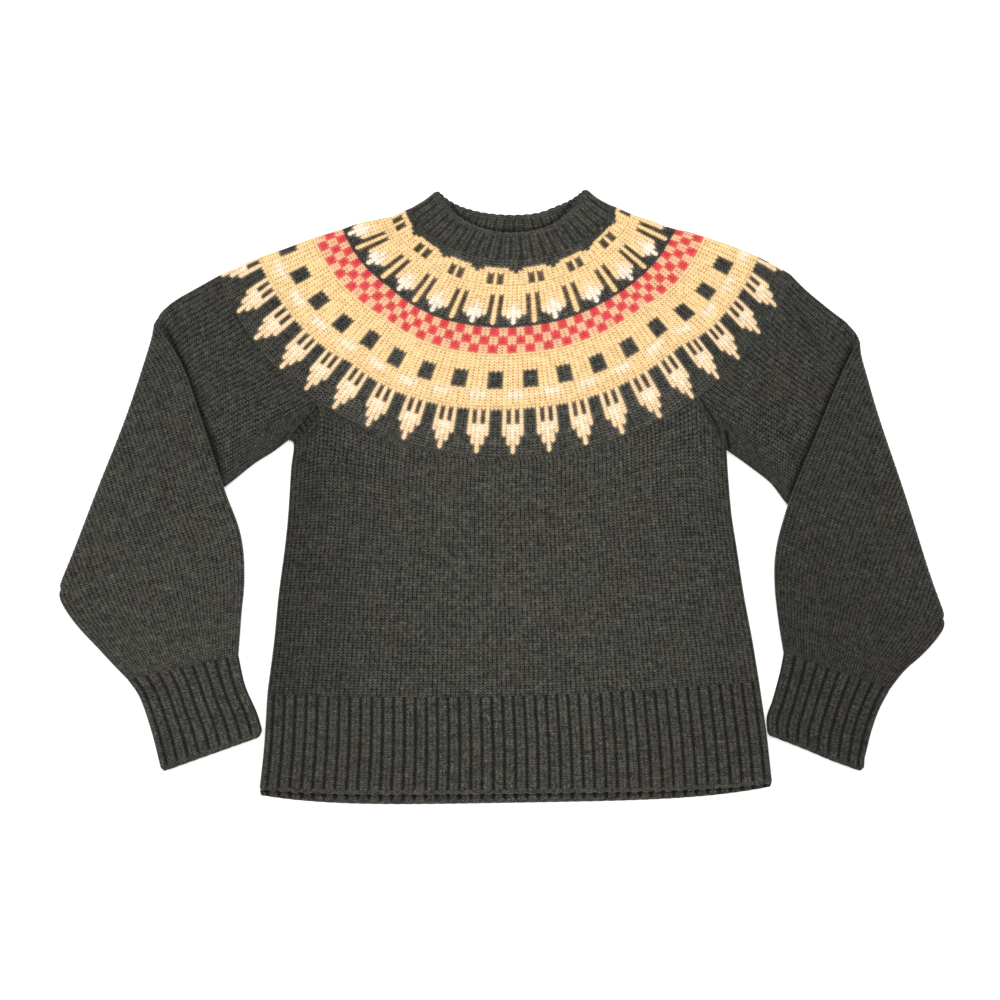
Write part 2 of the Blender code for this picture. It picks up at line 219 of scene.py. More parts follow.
ARMPIT_CREASE_SHADOWS = (
    # from across and up, to across and up, half width, depth of the shade: painted shadows of the narrow
    # folds up from the armpits
    (-212.5, 56.0, -181.0, 93.0, 0.95, 1.0),
    (-204.5, 60.5, -178.0, 90.0, 0.8, 0.65),
    (-198.5, 61.0, -181.0, 82.5, 0.85, 0.75),
    (-193.5, 57.0, -179.5, 79.5, 0.8, 0.6),
    (-187.0, 52.0, -183.5, 75.0, 0.8, 0.5),
    (-221.5, 51.0, -210.0, 68.0, 0.9, 0.6),
    (-254.0, 51.5, -195.0, 101.0, 0.8, 0.5),
    (-256.0, 63.5, -213.0, 87.5, 0.8, 0.35),
    (189.0, 118.0, 206.0, 84.0, 0.8, 0.8),
    (198.0, 98.0, 216.5, 69.0, 0.95, 0.95),
    (210.5, 79.5, 220.5, 57.0, 0.8, 0.7),
    (202.0, 112.0, 223.0, 69.0, 0.8, 0.5),
    (216.0, 69.5, 221.0, 47.0, 0.8, 0.4),
    (224.0, 67.0, 228.5, 44.0, 1.7, 1.0),
    (229.0, 74.5, 231.0, 61.0, 1.1, 0.6),
    (290.0, 197.0, 318.5, 141.0, 1.0, 0.55),
    (300.0, 183.0, 323.0, 139.0, 0.9, 0.4),
    (296.0, 178.0, 309.0, 150.0, 0.8, 0.3),
)

# ---------------------------------------------------------------- the pattern, one letter a stitch

# D charcoal, B brownish charcoal, T tan, C pale tan, E soft cream, W cream, R coral red, P peach.
# Each band runs from the neck outwards: "to" is how far out it ends in millimetres, and "around" is how
# many repeats it has all round. "lies" is where its motifs' middles lie from the left shoulder fold (0)
# to the right one (1). Some bands also have "lean", how far the motifs have moved sideways by the band's
# outer edge at the shares given first; "widths" of the repeat's stitches; and "thin", the height of its
# first and last rounds in courses.
BANDS = (
    {
        "to": 26.0,
        "around": 15,
        "lies": (-0.0257, 0.126, 0.271, 0.391, 0.514, 0.634, 0.769, 0.9278, 1.0888),
        "rows": (
            "DDDDDDDD", "DDDDDDDD", "DDDDDDDD", "DDTTTTTD", "DTTTTTTT", "TTTBTBTT", "TTTBTBTT", "TTTBTBTT",
            "TTTBTBTT",
        ),
        "widths": (1.0, 1.0, 0.92, 1.28, 0.6, 1.28, 0.92, 1.0),
    },
    {
        "to": 67.4,
        "around": 20,
        "lies": (0.028, 0.1247, 0.229, 0.325, 0.419, 0.511, 0.606, 0.71, 0.8147, 0.9103, 1.0095),
        "lean": ((0.0, 0.0), (0.08, -0.014), (0.18, -0.008), (0.37, -0.006), (0.56, -0.004), (0.76, 0.0),
                 (1.0, 0.0)),
        "rows": (
            "TTTTTTTT", "TTTTTTTT", "TTTTTTTT", "TTTBTBTT", "TTTBTBTT", "CTTBTBTT", "ECTBTBTC", "WCTBTBTC",
            "WECBTBCE", "WWCBTBCW", "WWDDTDDW", "WDDDTDDD", "WDDDTDDD", "DDDDDDDD",
        ),
        "thin": (1.0, 0.75),
    },
    {
        "to": 97.0,
        "around": 53,
        "lies": (0.0272, 0.061, 0.097, 0.1363, 0.1745, 0.2142, 0.253, 0.286, 0.322, 0.357, 0.393, 0.43,
                 0.467, 0.505, 0.54, 0.577, 0.614, 0.652, 0.692, 0.732, 0.774, 0.8145, 0.848, 0.884, 0.9225,
                 0.9575, 0.9887),
        "rows": (
            "DDDD", "RRPP", "RRPP", "RRPP", "PPRR", "PPRR", "PPRR", "RRPP", "RRPP", "RRPP", "TTTT",
        ),
        "thin": (0.2, 1.0),
    },
    {
        "to": 147.1,
        "around": 33,
        "lies": (0.0017, 0.0585, 0.1183, 0.1825, 0.2425, 0.301, 0.359, 0.417, 0.4775, 0.5375, 0.596, 0.657,
                 0.7205, 0.7878, 0.846, 0.9035, 0.9597, 1.0172),
        "rows": (
            "TTTTTTT", "TTTTTTT", "TTTTTTT", "TTTTTTT", "TTTTTTT", "DDTTTTD", "DDTTTTD", "DDTTTTD",
            "DDTTTTD", "DDTTTTD", "DDTTTTD", "TTTCCCT", "TTCEEEC", "TTCEEEC", "TTTCCCT", "TTTTTTT",
            "TTTTTTT",
        ),
    },
    {
        "to": 196.5,
        "around": 39,
        "lies": (0.0037, 0.0505, 0.1035, 0.1615, 0.209, 0.2612, 0.31, 0.361, 0.409, 0.457, 0.5078, 0.558,
                 0.6068, 0.657, 0.71, 0.765, 0.8167, 0.8593, 0.9105, 0.9583, 1.0043),
        "lean": ((0.0, 0.0), (0.05, 0.015), (0.10, 0.008), (0.21, 0.006), (0.26, 0.0), (0.31, 0.003),
                 (0.46, 0.004), (0.51, 0.0), (0.56, -0.003), (0.66, -0.003), (0.71, -0.001), (0.765, -0.004),
                 (0.82, -0.011), (0.86, -0.013), (0.91, -0.015), (0.96, -0.016), (1.0, 0.0)),
        "rows": (
            "TTTTTTTT", "CBCDDDCB", "CBCDDDCB", "CBCDDDCB", "CBCDDDCB", "CBCDDDCB", "EECDDDCE", "EECDDDCE",
            "EECDDDCE", "ECCDDDCC", "ECDDDDDC", "CCDDDDDC", "CCDDDDDC", "CDDDDDDD", "CDDDDDDD", "CDDDDDDD",
            "DDDDDDDD",
        ),
    },
)
YOKE_DEPTH = 196.5          # from the neck seam to the tips, at the centre of the front
ROUND_PULL = (
    # share, and how far the rounds lie out from where they would at a tenth, a third and two thirds out
    (0.0, -0.022, 0.006, 0.024), (0.05, -0.020, -0.001, 0.015), (0.10, -0.016, -0.005, 0.008),
    (0.15, -0.016, -0.011, 0.004), (0.20, -0.018, -0.017, -0.003), (0.24, -0.018, -0.008, -0.020),
    (0.28, -0.012, -0.003, -0.004), (0.33, 0.0, 0.004, 0.007), (0.40, 0.0, 0.002, 0.007),
    (0.47, -0.001, 0.0, -0.001), (0.53, -0.004, -0.006, -0.008), (0.60, -0.009, -0.010, -0.008),
    (0.66, -0.013, -0.016, -0.013), (0.72, -0.020, -0.022, -0.024), (0.765, -0.024, -0.025, -0.032),
    (0.80, -0.030, -0.024, -0.036), (0.835, -0.034, -0.022, -0.006), (0.87, -0.034, -0.018, 0.010),
    (0.92, -0.028, -0.012, 0.020), (0.96, -0.026, -0.010, 0.031), (1.0, -0.028, 0.0, 0.040),
)

PLAIN_LEAN = 0.48           # how far each V of a stitch dips at its middle, in courses,
YOKE_LEAN = 0.50            # and in the looser colourwork
BLEED = 0.60                # how much the fibres of neighbouring stitches mix at a stitch's corners
RIB_STITCHES = 3            # two knit, one purl
PURL_MIDDLE = 2.5           # where the first purl column's middle is, in stitches,
PURL_HALF_WIDTH = 0.33      # and half its width
EDGE_ROLL = 1.2             # courses over which both sides of the cloth meet at an open edge
NOTCH_REACH = 3.0           # courses over which an open edge dips at the purl columns
CAST_OFF = 0.9              # courses over which the painted shade of the purl columns ends at a cast-off edge
SHADE_REACH = 2.1           # courses that the front hem's painted shadow runs down the back's purl columns
BAND_GAP = 0.3              # between the yoke's bands, where a strip joins them
SEED = 7

# The cloth that the stitch counts are worked out from, in metres, and the ribs round the neck
BODY_CLOTH = (0.470, 0.250)
HEM_CLOTH = (0.500, 0.100)
CUFF_CLOTH = (0.222, 0.088)
SLEEVE_LENGTH = 0.420
NECK_DEPTH = 0.030
NECK_RIBS = 48

# Columns and rows of the plain inner skins
BODY_LINING = (48, 26)
SLEEVE_LINING = (64, 80)
YOKE_LINING = (160, 16)

# Tone with painted shade at a piece's start and end, and how much painted shade darkens its left and right
# sides
BODY_TONES = (0.97, 0.90, 0.46, 0.24)
HEM_TONES = (0.78, 0.78, 0.22, 0.2)
NECK_TONES = (0.78, 0.78)
YOKE_TONES = (0.93, 0.72)   # of the yoke's charcoal over the body and over the sleeves, darker there as painted shade

# Shares of the body's relief, and of the other ribs' depth
RIB_RELIEF = 0.5
YOKE_RELIEF = 0.45
NECK_RIB_DEPTH = 0.7

# Noise scales of the yarn, per metre
FLECK_SCALE = 760.0
PATCH_SCALE = 22.0
HOLE_SCALE = 240.0
FUZZ_SCALE = 1100.0
WAVER_SCALE = 130.0

FLOOR_HALF = 3.0            # half the side of the floor, in metres,
FLOOR_DROP = 0.0003         # and how far it is under the jumper
CAMERA_AIM = (-0.0015, -0.0045)     # the point that the camera looks straight down on, in metres


# ---------------------------------------------------------------- flat geometry

def mix(start, end, share):
    """The value or point that lies a share of the way from start to end."""
    share = np.asarray(share, float)
    if np.ndim(start) and np.shape(start)[-1:] == (2,) and share.ndim:
        share = share[..., None]
    return np.asarray(start, float) + (np.asarray(end, float) - np.asarray(start, float)) * share


def ease(value):
    """Goes smoothly from 0 to 1 as value does."""
    value = np.clip(value, 0.0, 1.0)
    return value * value * (3 - 2 * value)


def evenly(points, count=600):
    """The same line with evenly spaced points."""
    points = np.asarray(points, float)
    runs = np.linalg.norm(np.diff(points, axis=0), axis=1)
    lengths = np.concatenate(([0.0], np.cumsum(runs)))
    steps = np.linspace(0.0, lengths[-1], count)
    return np.stack([np.interp(steps, lengths, points[:, axis]) for axis in (0, 1)], axis=1)


def smooth_line(points, per_span=40):
    """A smooth line through the points, evenly spaced."""
    points = np.asarray(points, float)
    runs = np.sqrt(np.linalg.norm(np.diff(points, axis=0), axis=1))
    knots = np.concatenate(([0.0], np.cumsum(runs)))
    slopes = np.gradient(points, knots, axis=0)
    pieces = []
    share = np.linspace(0.0, 1.0, per_span, endpoint=False)[:, None]
    for index, run in enumerate(runs):
        start, end = points[index], points[index + 1]
        out, into = slopes[index] * run, slopes[index + 1] * run
        pieces.append(
            start * (1 + 2 * share) * (1 - share) ** 2 + out * share * (1 - share) ** 2
            + end * share * share * (3 - 2 * share) + into * share * share * (share - 1)
        )
    return evenly(np.concatenate(pieces + [points[-1:]]))


def along(line, share):
    """The point a share of the way along a line."""
    steps = np.linspace(0.0, 1.0, len(line))
    return np.stack([np.interp(share, steps, line[:, axis]) for axis in (0, 1)], axis=-1)


def length_of(line):
    """How long a line is."""
    return float(np.linalg.norm(np.diff(line, axis=0), axis=1).sum())


def arc_point(arc, share):
    """A point on a yoke edge, a share of the way from the left shoulder fold to the right one."""
    angle = np.radians(mix(arc["left"], 180.0 - arc["right"], share))
    across = arc["across"] - arc["half_width"] * np.cos(angle)
    up = arc["up"] - arc["drop"] * np.sin(angle)
    return np.stack([across, up], axis=-1)


def raised(point, first, last, rise):
    """The back's point that goes with a front one: it keeps a share of the front's dip."""
    chord = last - first
    share = ((point - first) * chord).sum(-1) / (chord * chord).sum(-1)
    foot = first + chord * share[..., None]
    return foot + (point - foot) * rise[..., None]


def half_tube(share, width, depth):
    """Across a flattened tube from side fold to side fold: share of its width, height over its middle."""
    stretch = width + (math.pi - 2) * SIDE_RADIUS
    from_left = share * stretch
    near = np.minimum(from_left, stretch - from_left)
    quarter = math.pi / 2 * SIDE_RADIUS
    angle = np.minimum(near / SIDE_RADIUS, math.pi / 2)
    radius = SIDE_RADIUS - depth
    inset = np.where(near < quarter, SIDE_RADIUS - radius * np.cos(angle), near - quarter + SIDE_RADIUS)
    across = np.where(from_left < stretch / 2, inset, width - inset)
    return across / width, radius * np.sin(angle)


def whole_tube(turn, width, depth):
    """Once round a flattened tube, front first: share of its width, height over its back, front or not."""
    turn = np.mod(turn, 1.0)
    front = turn < 0.5
    share = np.where(front, 2 * turn, 2 - 2 * turn)
    across, height = half_tube(share, width, depth)
    return across, SIDE_RADIUS + np.where(front, height, -height), front


def between(one, two, down, tube, turn, depth):
    """Flat points between two edge lines, their share of the way across, and what else the tube gives."""
    start, end = along(one, down), along(two, down)
    width = np.linalg.norm(end - start, axis=-1)
    across, *rest = tube(turn, width, depth)
    return (start + (end - start) * across[..., None], across, *rest)


def soften_corners(points, corners):
    """Draws the cloth in at sharp corners of an outline, so that they are round."""
    for at_x, at_y, one_x, one_y, two_x, two_y, radius in corners:
        corner = np.array((at_x, at_y))
        one = np.array((one_x, one_y)) - corner
        two = np.array((two_x, two_y)) - corner
        one /= np.linalg.norm(one)
        two /= np.linalg.norm(two)
        middle = (one + two) / np.linalg.norm(one + two)
        half_angle = math.acos(float(np.clip(one @ middle, -1, 1)))
        centre = corner + middle * radius / math.sin(half_angle)
        out_one = -(two - (two @ one) * one)
        out_two = -(one - (one @ two) * two)
        out_one /= np.linalg.norm(out_one)
        out_two /= np.linalg.norm(out_two)
        from_centre = points - centre
        reach_one, reach_two = from_centre @ out_one, from_centre @ out_two
        cross = out_one @ out_two
        inside = (reach_one - cross * reach_two > 0) & (reach_two - cross * reach_one > 0)
        distance = np.maximum(np.linalg.norm(from_centre, axis=-1), 1e-6)
        pull = np.where(inside, np.maximum(reach_one, reach_two) / distance, 1.0)
        points = centre + from_centre * pull[..., None]
    return points


def crease_rise(points):
    """How much the creases lift the top of the cloth at flat points."""
    rise = np.zeros(points.shape[:-1])
    for x1, y1, x2, y2, half_width, height in CREASES:
        start, run = np.array((x1, y1)), np.array((x2 - x1, y2 - y1))
        share = ((points - start) @ run) / (run @ run)
        held = np.clip(share, 0.0, 1.0)
        gap = np.linalg.norm(points - start - held[..., None] * run, axis=-1)
        taper = np.sqrt(ease(4 * np.minimum(held, 1 - held) + 0.15))
        rise += height * taper * np.exp(-(gap / half_width) ** 2)
    slow = np.sin(points[..., 0] / 47 + 1.3 * np.sin(points[..., 1] / 61))
    slow += np.sin(points[..., 1] / 39 + 1.7 * np.sin(points[..., 0] / 83 + 1.0))
    return rise + 0.22 * slow


def gap_shade(points, height):
    """How much painted shadow points get from the gaps and grooves: 1 at the middle of a painted dark line,
    0 away from them.
    """
    shade = np.zeros(points.shape[:-1])
    low, high = points.reshape(-1, 2).min(axis=0), points.reshape(-1, 2).max(axis=0)
    for line, half_width, below in PAINTED_GAP_SHADOWS:
        line, reach = np.array(line), 3 * half_width
        if (low > line.max(axis=0) + reach).any() or (high < line.min(axis=0) - reach).any():
            continue
        runs = np.linalg.norm(np.diff(line, axis=0), axis=1)
        before = np.concatenate([[0.0], np.cumsum(runs)])
        nearest = np.full(shade.shape, 1e9)
        place = np.zeros(shade.shape)
        for start, end, run, gone in zip(line, line[1:], runs, before):
            held = np.clip(((points - start) @ (end - start)) / run ** 2, 0.0, 1.0)
            gap = np.linalg.norm(points - start - held[..., None] * (end - start), axis=-1)
            place = np.where(gap < nearest, (gone + held * run) / before[-1], place)
            nearest = np.minimum(gap, nearest)
        taper = ease(8 * np.minimum(place, 1 - place) + 0.2)
        found = taper * np.exp(-(nearest / half_width) ** 2)
        shade = np.maximum(shade, np.where(height < below, found, 0.0))
    return shade


def settled(points):
    """Flat points after the small shifts of the cloth."""
    shift = np.zeros_like(points)
    for across, up, by_across, by_up, reach in SETTLED:
        gap = ((points - (across, up)) ** 2).sum(axis=-1) / reach ** 2
        shift += np.exp(-gap)[..., None] * (by_across, by_up)
    return points + shift


def lay_down(points, height):
    """Points in space, with the creases in the upper layers and the back flat on the surface."""
    points = settled(points)
    share = np.clip(height / LAYERS, 0.0, 1.0)
    return np.concatenate([points, (height + crease_rise(points) * share)[..., None]], axis=-1)


# ---------------------------------------------------------------- where each piece's cloth lies

NECK_WIDTH = length_of(arc_point(NECK_ARC, np.linspace(0, 1, 200)))
YOKE_WIDTH = length_of(arc_point(YOKE_ARC, np.linspace(0, 1, 200)))
COLLAR_WIDTH = length_of(arc_point(COLLAR_ARC, np.linspace(0, 1, 200)))


def yoke_point(share, out):
    """A flat point of the yoke's front, from the left fold to the right and from the neck out."""
    near, far = arc_point(NECK_ARC, share), arc_point(YOKE_ARC, share)
    run = far - near
    beside = np.stack([-run[..., 1], run[..., 0]], axis=-1)
    beside /= np.linalg.norm(beside, axis=-1, keepdims=True)
    sideways = 2 * share - 1
    bow = SHOULDER_BOW * np.abs(sideways) ** 6 - SHOULDER_PULL
    bow = bow * 27 / 4 * out * out * (1 - out) * sideways * np.abs(sideways)
    return near + run * out[..., None] + beside * bow[..., None]


def pulled(share, out):
    """How far out a round of the yoke really lies: the cloth is drawn in at the raglan seams."""
    table = np.array(ROUND_PULL)
    at = [np.interp(share, table[:, 0], table[:, column]) for column in (1, 2, 3)]
    inner, middle, outer = (ease(value) for value in (out / 0.1, (out - 0.1) / 0.25, (out - 0.35) / 0.25))
    pull = at[0] * inner + (at[1] - at[0]) * middle + (at[2] - at[1]) * outer
    return out + pull * np.where(out > 0.75, ease((1.02 - out) / 0.27), 1.0)


def place_yoke(turn, out, depth):
    """The yoke, from the neck seam out to its edge."""
    share, _, _ = whole_tube(turn, mix(NECK_WIDTH, YOKE_WIDTH, out), depth)
    out = pulled(share, out)
    share, height, front = whole_tube(turn, mix(NECK_WIDTH, YOKE_WIDTH, out), depth)
    flat = yoke_point(share, out)
    first, last = yoke_point(np.zeros_like(out), out), yoke_point(np.ones_like(out), out)
    rise = np.where(front, 1.0, mix(BACK_NECK_RISE, BACK_YOKE_RISE, out))
    return lay_down(raised(flat, first, last, rise), height)


def place_neckband(turn, down, depth):
    """The neckband, from its open top edge down to the neck seam."""
    share, height, front = whole_tube(turn, mix(COLLAR_WIDTH, NECK_WIDTH, down), depth)
    edge = np.zeros_like(down)
    flat = mix(arc_point(COLLAR_ARC, share), arc_point(NECK_ARC, share), down)
    first = mix(arc_point(COLLAR_ARC, edge), arc_point(NECK_ARC, edge), down)
    last = mix(arc_point(COLLAR_ARC, edge + 1), arc_point(NECK_ARC, edge + 1), down)
    rise = np.where(front, 1.0, mix(BACK_COLLAR_RISE, BACK_NECK_RISE, down))
    return lay_down(soften_corners(raised(flat, first, last, rise), SOFT_CORNERS["neckband"]), height)


def yoke_edge(from_share, to_share, rise):
    """A stretch of the yoke's outer edge, on the front or on the back."""
    shares = np.linspace(from_share, to_share, 300)
    ends = arc_point(YOKE_ARC, np.array([0.0, 1.0]))
    return raised(arc_point(YOKE_ARC, shares), ends[0], ends[1], np.full(300, rise))


def panel_top(rise):
    """The body's top edge: up one raglan seam, along the yoke and down the other seam."""
    edge = yoke_edge(SLEEVE_SHARE, 1 - SLEEVE_SHARE, rise)
    return np.concatenate([[LEFT_ARMPIT], edge, [RIGHT_ARMPIT]])


def panel_placer(facing):
    """The front (facing 1) or the back (-1) of the body, from the yoke down to the hem rib."""
    rows = np.array(BODY_SIDES)
    left, right = smooth_line(rows[:, 0:2]), smooth_line(rows[:, 2:4])
    top = panel_top(1.0 if facing > 0 else BACK_YOKE_RISE)
    across_top = np.linspace(0.0, 1.0, 400)
    edge_x = mix(LEFT_ARMPIT[0], RIGHT_ARMPIT[0], across_top)
    dips = np.interp(edge_x, top[:, 0], top[:, 1]) - mix(LEFT_ARMPIT[1], RIGHT_ARMPIT[1], across_top)
    reach = np.arange(-100, 101)
    weights = np.exp(-(reach / 40.0) ** 2)
    soft_dips = np.convolve(np.pad(dips, 100, mode="edge"), weights / weights.sum(), mode="valid")

    def place(share, down, depth):
        flat, across, height = between(left, right, down, half_tube, share, depth)
        sharp, soft = (1 - down) ** 12, (1 - down) ** 3.5
        dip = np.interp(across, across_top, dips) * sharp
        dip += np.interp(across, across_top, soft_dips) * (soft - sharp)
        sag = RIB_TOP_SAG * 4 * across * (1 - across) * down
        flat[..., 1] += dip - sag
        return lay_down(flat, SIDE_RADIUS + facing * height)

    return place


def hem_placer(rows, facing):
    """The front's or the back's hem rib, from its seam down to its open edge."""
    rows = np.array(rows)
    left, right = smooth_line(rows[:, 0:2]), smooth_line(rows[:, 2:4])

    def place(share, down, depth):
        flat, across, height = between(left, right, down, half_tube, share, depth)
        sag = np.interp(down, np.linspace(0, 1, len(rows)), rows[:, 4])
        flat[..., 1] -= sag * mix(4 * across * (1 - across), 1 - (2 * across - 1) ** 4, down)
        return lay_down(soften_corners(flat, SOFT_CORNERS["hem"]), SIDE_RADIUS + facing * height)

    return place


class ElbowFold:
    """The line about which a sleeve is turned over on itself."""

    def __init__(self, sleeve):
        top, elbow = (np.array(end) for end in sleeve["fold"])
        down = (elbow - top) / np.linalg.norm(elbow - top)
        self.outward = np.array((down[1], -down[0])) * -sleeve["side"]
        self.start = top - self.outward * TURN_HEIGHT

    def past(self, points):
        """How far beyond the turning line flat points lie."""
        return (points - self.start) @ self.outward

    def unfolded(self, point):
        """Where a point of the part that is folded over lay before it was folded."""
        point = np.asarray(point, float)
        inside = -self.past(point)
        return point + self.outward * (2 * inside + TURN_RUN)

    def middle(self, point):
        """Where a point on the fold itself lay before it was folded."""
        point = np.asarray(point, float)
        return point + self.outward * (TURN_RUN / 2 - TURN_HEIGHT)

    def turned(self, points, height):
        """Flat points and heights after the fold, and which of them lie on the part folded over."""
        past = self.past(points)
        angle = np.clip(past / TURN_RUN, 0.0, 1.0) * math.pi
        radius = TURN_HEIGHT - height
        reach = radius * np.sin(angle) - np.maximum(past - TURN_RUN, 0.0)
        moved = points + self.outward * np.where(past > 0, reach - past, 0.0)[..., None]
        raised_height = TURN_HEIGHT - radius * np.cos(angle)
        return moved, np.where(past > 0, raised_height, height), past > TURN_RUN


def sleeve_mouth(sleeve, rise):
    """The sleeve's edge along the yoke and down the raglan seam, from the shoulder to the armpit."""
    if sleeve["side"] < 0:
        edge = yoke_edge(0.0, SLEEVE_SHARE, rise)
    else:
        edge = yoke_edge(1.0, 1 - SLEEVE_SHARE, rise)
    return evenly(np.concatenate([edge, [sleeve["armpit"]]]))


def sleeve_edges(sleeve):
    """The shoulder and underarm edges of a sleeve, laid out straight before its fold."""
    fold = ElbowFold(sleeve)
    mouth = sleeve_mouth(sleeve, 1.0)
    lines = []
    for start, name, fold_end in ((mouth[0], "shoulder", 0), (mouth[-1], "underarm", 1)):
        points = [start, *sleeve[name], fold.middle(sleeve["fold"][fold_end])]
        points += [fold.unfolded(point) for point in sleeve[name + "_over"]]
        lines.append(smooth_line(points))
    return lines


def sleeve_placer(sleeve, corners):
    """A sleeve, from the yoke round the elbow fold to the cuff seam."""
    fold = ElbowFold(sleeve)
    shoulder, underarm = sleeve_edges(sleeve)
    mouths = {True: sleeve_mouth(sleeve, 1.0), False: sleeve_mouth(sleeve, BACK_YOKE_RISE)}
    start = np.array(sleeve["underarm"][1])
    run = np.array(sleeve["fold"][1]) - start
    clear = np.array((run[1], -run[0])) / np.linalg.norm(run)
    if clear[1] > 0:
        clear = -clear

    def place(turn, down, depth):
        flat, across, height, front = between(shoulder, underarm, down, whole_tube, turn, depth)
        bend = np.zeros_like(flat)
        for facing, mouth in mouths.items():
            curve = along(mouth, across) - mix(mouth[0], mouth[-1], across)
            bend = np.where((front == facing)[..., None], curve, bend)
        flat += bend * (1 - ease(down / 0.32))[..., None]
        flat, height, over = fold.turned(flat, height)
        past = ((flat - start) @ clear - LIFT_LEDGE) / LIFT_RUN
        height = height - np.where(over, (LAYERS + FOLD_GAP) * ease(past), 0.0)
        return lay_down(soften_corners(flat, corners), height)

    return place


def cuff_placer(sleeve, corners):
    """A cuff, lying face down, from the sleeve to its open end."""
    rows = np.array(sleeve["cuff"])
    shoulder, underarm = smooth_line(rows[:, 0:2]), smooth_line(rows[:, 2:4])

    def place(turn, down, depth):
        flat, _, height, _ = between(shoulder, underarm, down, whole_tube, turn, depth)
        return lay_down(soften_corners(flat, corners), LAYERS - height)

    return place


# ---------------------------------------------------------------- knitting a mesh

class Knitting:
    """The points and triangles of one piece, with each corner's stitch place and yarn colour and each
    point's painted shade.
    """

    def __init__(self):
        self.points, self.painted_shades = [], []
        self.triangles, self.stitches, self.yarns = [], [], []
        self.count = 0

    def add_points(self, points, painted_shade):
        """Keeps some points with their painted shade and returns their numbers, in the same layout."""
        shape = points.shape[:-1]
        flat = points.reshape(-1, 3)
        self.points.append(flat)
        self.painted_shades.append(np.broadcast_to(painted_shade, shape).reshape(-1))
        numbers = np.arange(self.count, self.count + len(flat)).reshape(shape)
        self.count += len(flat)
        return numbers

    def add_triangles(self, corners, places, colours, flip):
        """Keeps triangles: corner numbers (n, 3), stitch places (n, 3, 2) and colours (n, 3, 3)."""
        if flip:
            corners, places, colours = corners[:, ::-1], places[:, ::-1], colours[:, ::-1]
        self.triangles.append(corners)
        self.stitches.append(places)
        self.yarns.append(colours)

    def join(self, one, two, colour, flip, closed):
        """Fills the strip between two rows of points, each given as (numbers, shares along the row)."""
        (a, pa), (b, pb) = one, two
        if closed:
            a, pa = np.append(a, a[0]), np.append(pa, pa[0] + 1)
            b, pb = np.append(b, b[0]), np.append(pb, pb[0] + 1)
        i, j, found = 0, 0, []
        while i < len(a) - 1 or j < len(b) - 1:
            if j == len(b) - 1 or (i < len(a) - 1 and pa[i + 1] <= pb[j + 1]):
                found.append((a[i], b[j], a[i + 1]))
                i += 1
            else:
                found.append((a[i], b[j], b[j + 1]))
                j += 1
        self.add_plain(np.array(found), colour, flip)

    def add_plain(self, corners, colour, flip):
        """Keeps triangles of one colour that have no stitches."""
        colours = np.broadcast_to(np.asarray(colour, float), (len(corners), 3, 3))
        self.add_triangles(corners, np.zeros((len(corners), 3, 2)), colours, flip)

    def make(self, name, material):
        """Writes the piece as a mesh object in metres."""
        points = np.concatenate(self.points) * MM
        triangles = np.concatenate(self.triangles)
        mesh = bpy.data.meshes.new(name)
        mesh.vertices.add(len(points))
        mesh.vertices.foreach_set("co", points.astype(np.float32).ravel())
        mesh.loops.add(triangles.size)
        mesh.loops.foreach_set("vertex_index", triangles.astype(np.int32).ravel())
        mesh.polygons.add(len(triangles))
        mesh.polygons.foreach_set("loop_start", np.arange(0, triangles.size, 3, dtype=np.int32))
        mesh.update(calc_edges=True)
        mesh.validate()
        mesh.shade_smooth()
        places = mesh.uv_layers.new(name="stitches")
        places.uv.foreach_set("vector", np.concatenate(self.stitches).astype(np.float32).ravel())
        yarn = mesh.color_attributes.new("yarn", "FLOAT_COLOR", "CORNER")
        colours = np.concatenate(self.yarns).reshape(-1, 3)
        colours = np.concatenate([colours, np.ones((len(colours), 1))], axis=1)
        yarn.data.foreach_set("color", colours.astype(np.float32).ravel())
        # each point's painted shade, which darkens the yarn's colour in the material
        painted_shade = mesh.attributes.new("painted_shade", "FLOAT", "POINT")
        painted_shade.data.foreach_set("value", np.concatenate(self.painted_shades).astype(np.float32))
        mesh.materials.append(material)
        piece = bpy.data.objects.new(name, mesh)
        bpy.context.scene.collection.objects.link(piece)
        return piece


def off_purl(stitch):
    """How far places lie from the nearest purl column's middle, in stitches."""
    return np.mod(stitch - PURL_MIDDLE + RIB_STITCHES / 2, RIB_STITCHES) - RIB_STITCHES / 2


def purl_valley(stitch, widen=1.0):
    """1 along a purl column of the rib, falling to 0 on the knit columns."""
    return np.exp(-(off_purl(stitch) / PURL_HALF_WIDTH / widen) ** 2)


def edges_of(corners, used, first, last, sides):
    """The four edges of a grid of points, each with the shares along it."""
    return {
        "first": (corners[0, :used], first[:used]),
        "last": (corners[-1, :used], last[:used]),
        "left": (corners[:, 0], sides),
        "right": (corners[:, -1], sides),
    }


def corner_colours(legs, closed):
    """The mean yarn colour round every corner of a grid of stitch legs."""
    rows = np.concatenate([legs[:1], legs, legs[-1:]])
    if closed:
        around = np.concatenate([rows[:, -1:], rows, rows[:, :1]], axis=1)
    else:
        around = np.concatenate([rows[:, :1], rows, rows[:, -1:]], axis=1)
    return (around[:-1, :-1] + around[1:, :-1] + around[:-1, 1:] + around[1:, 1:]) / 4


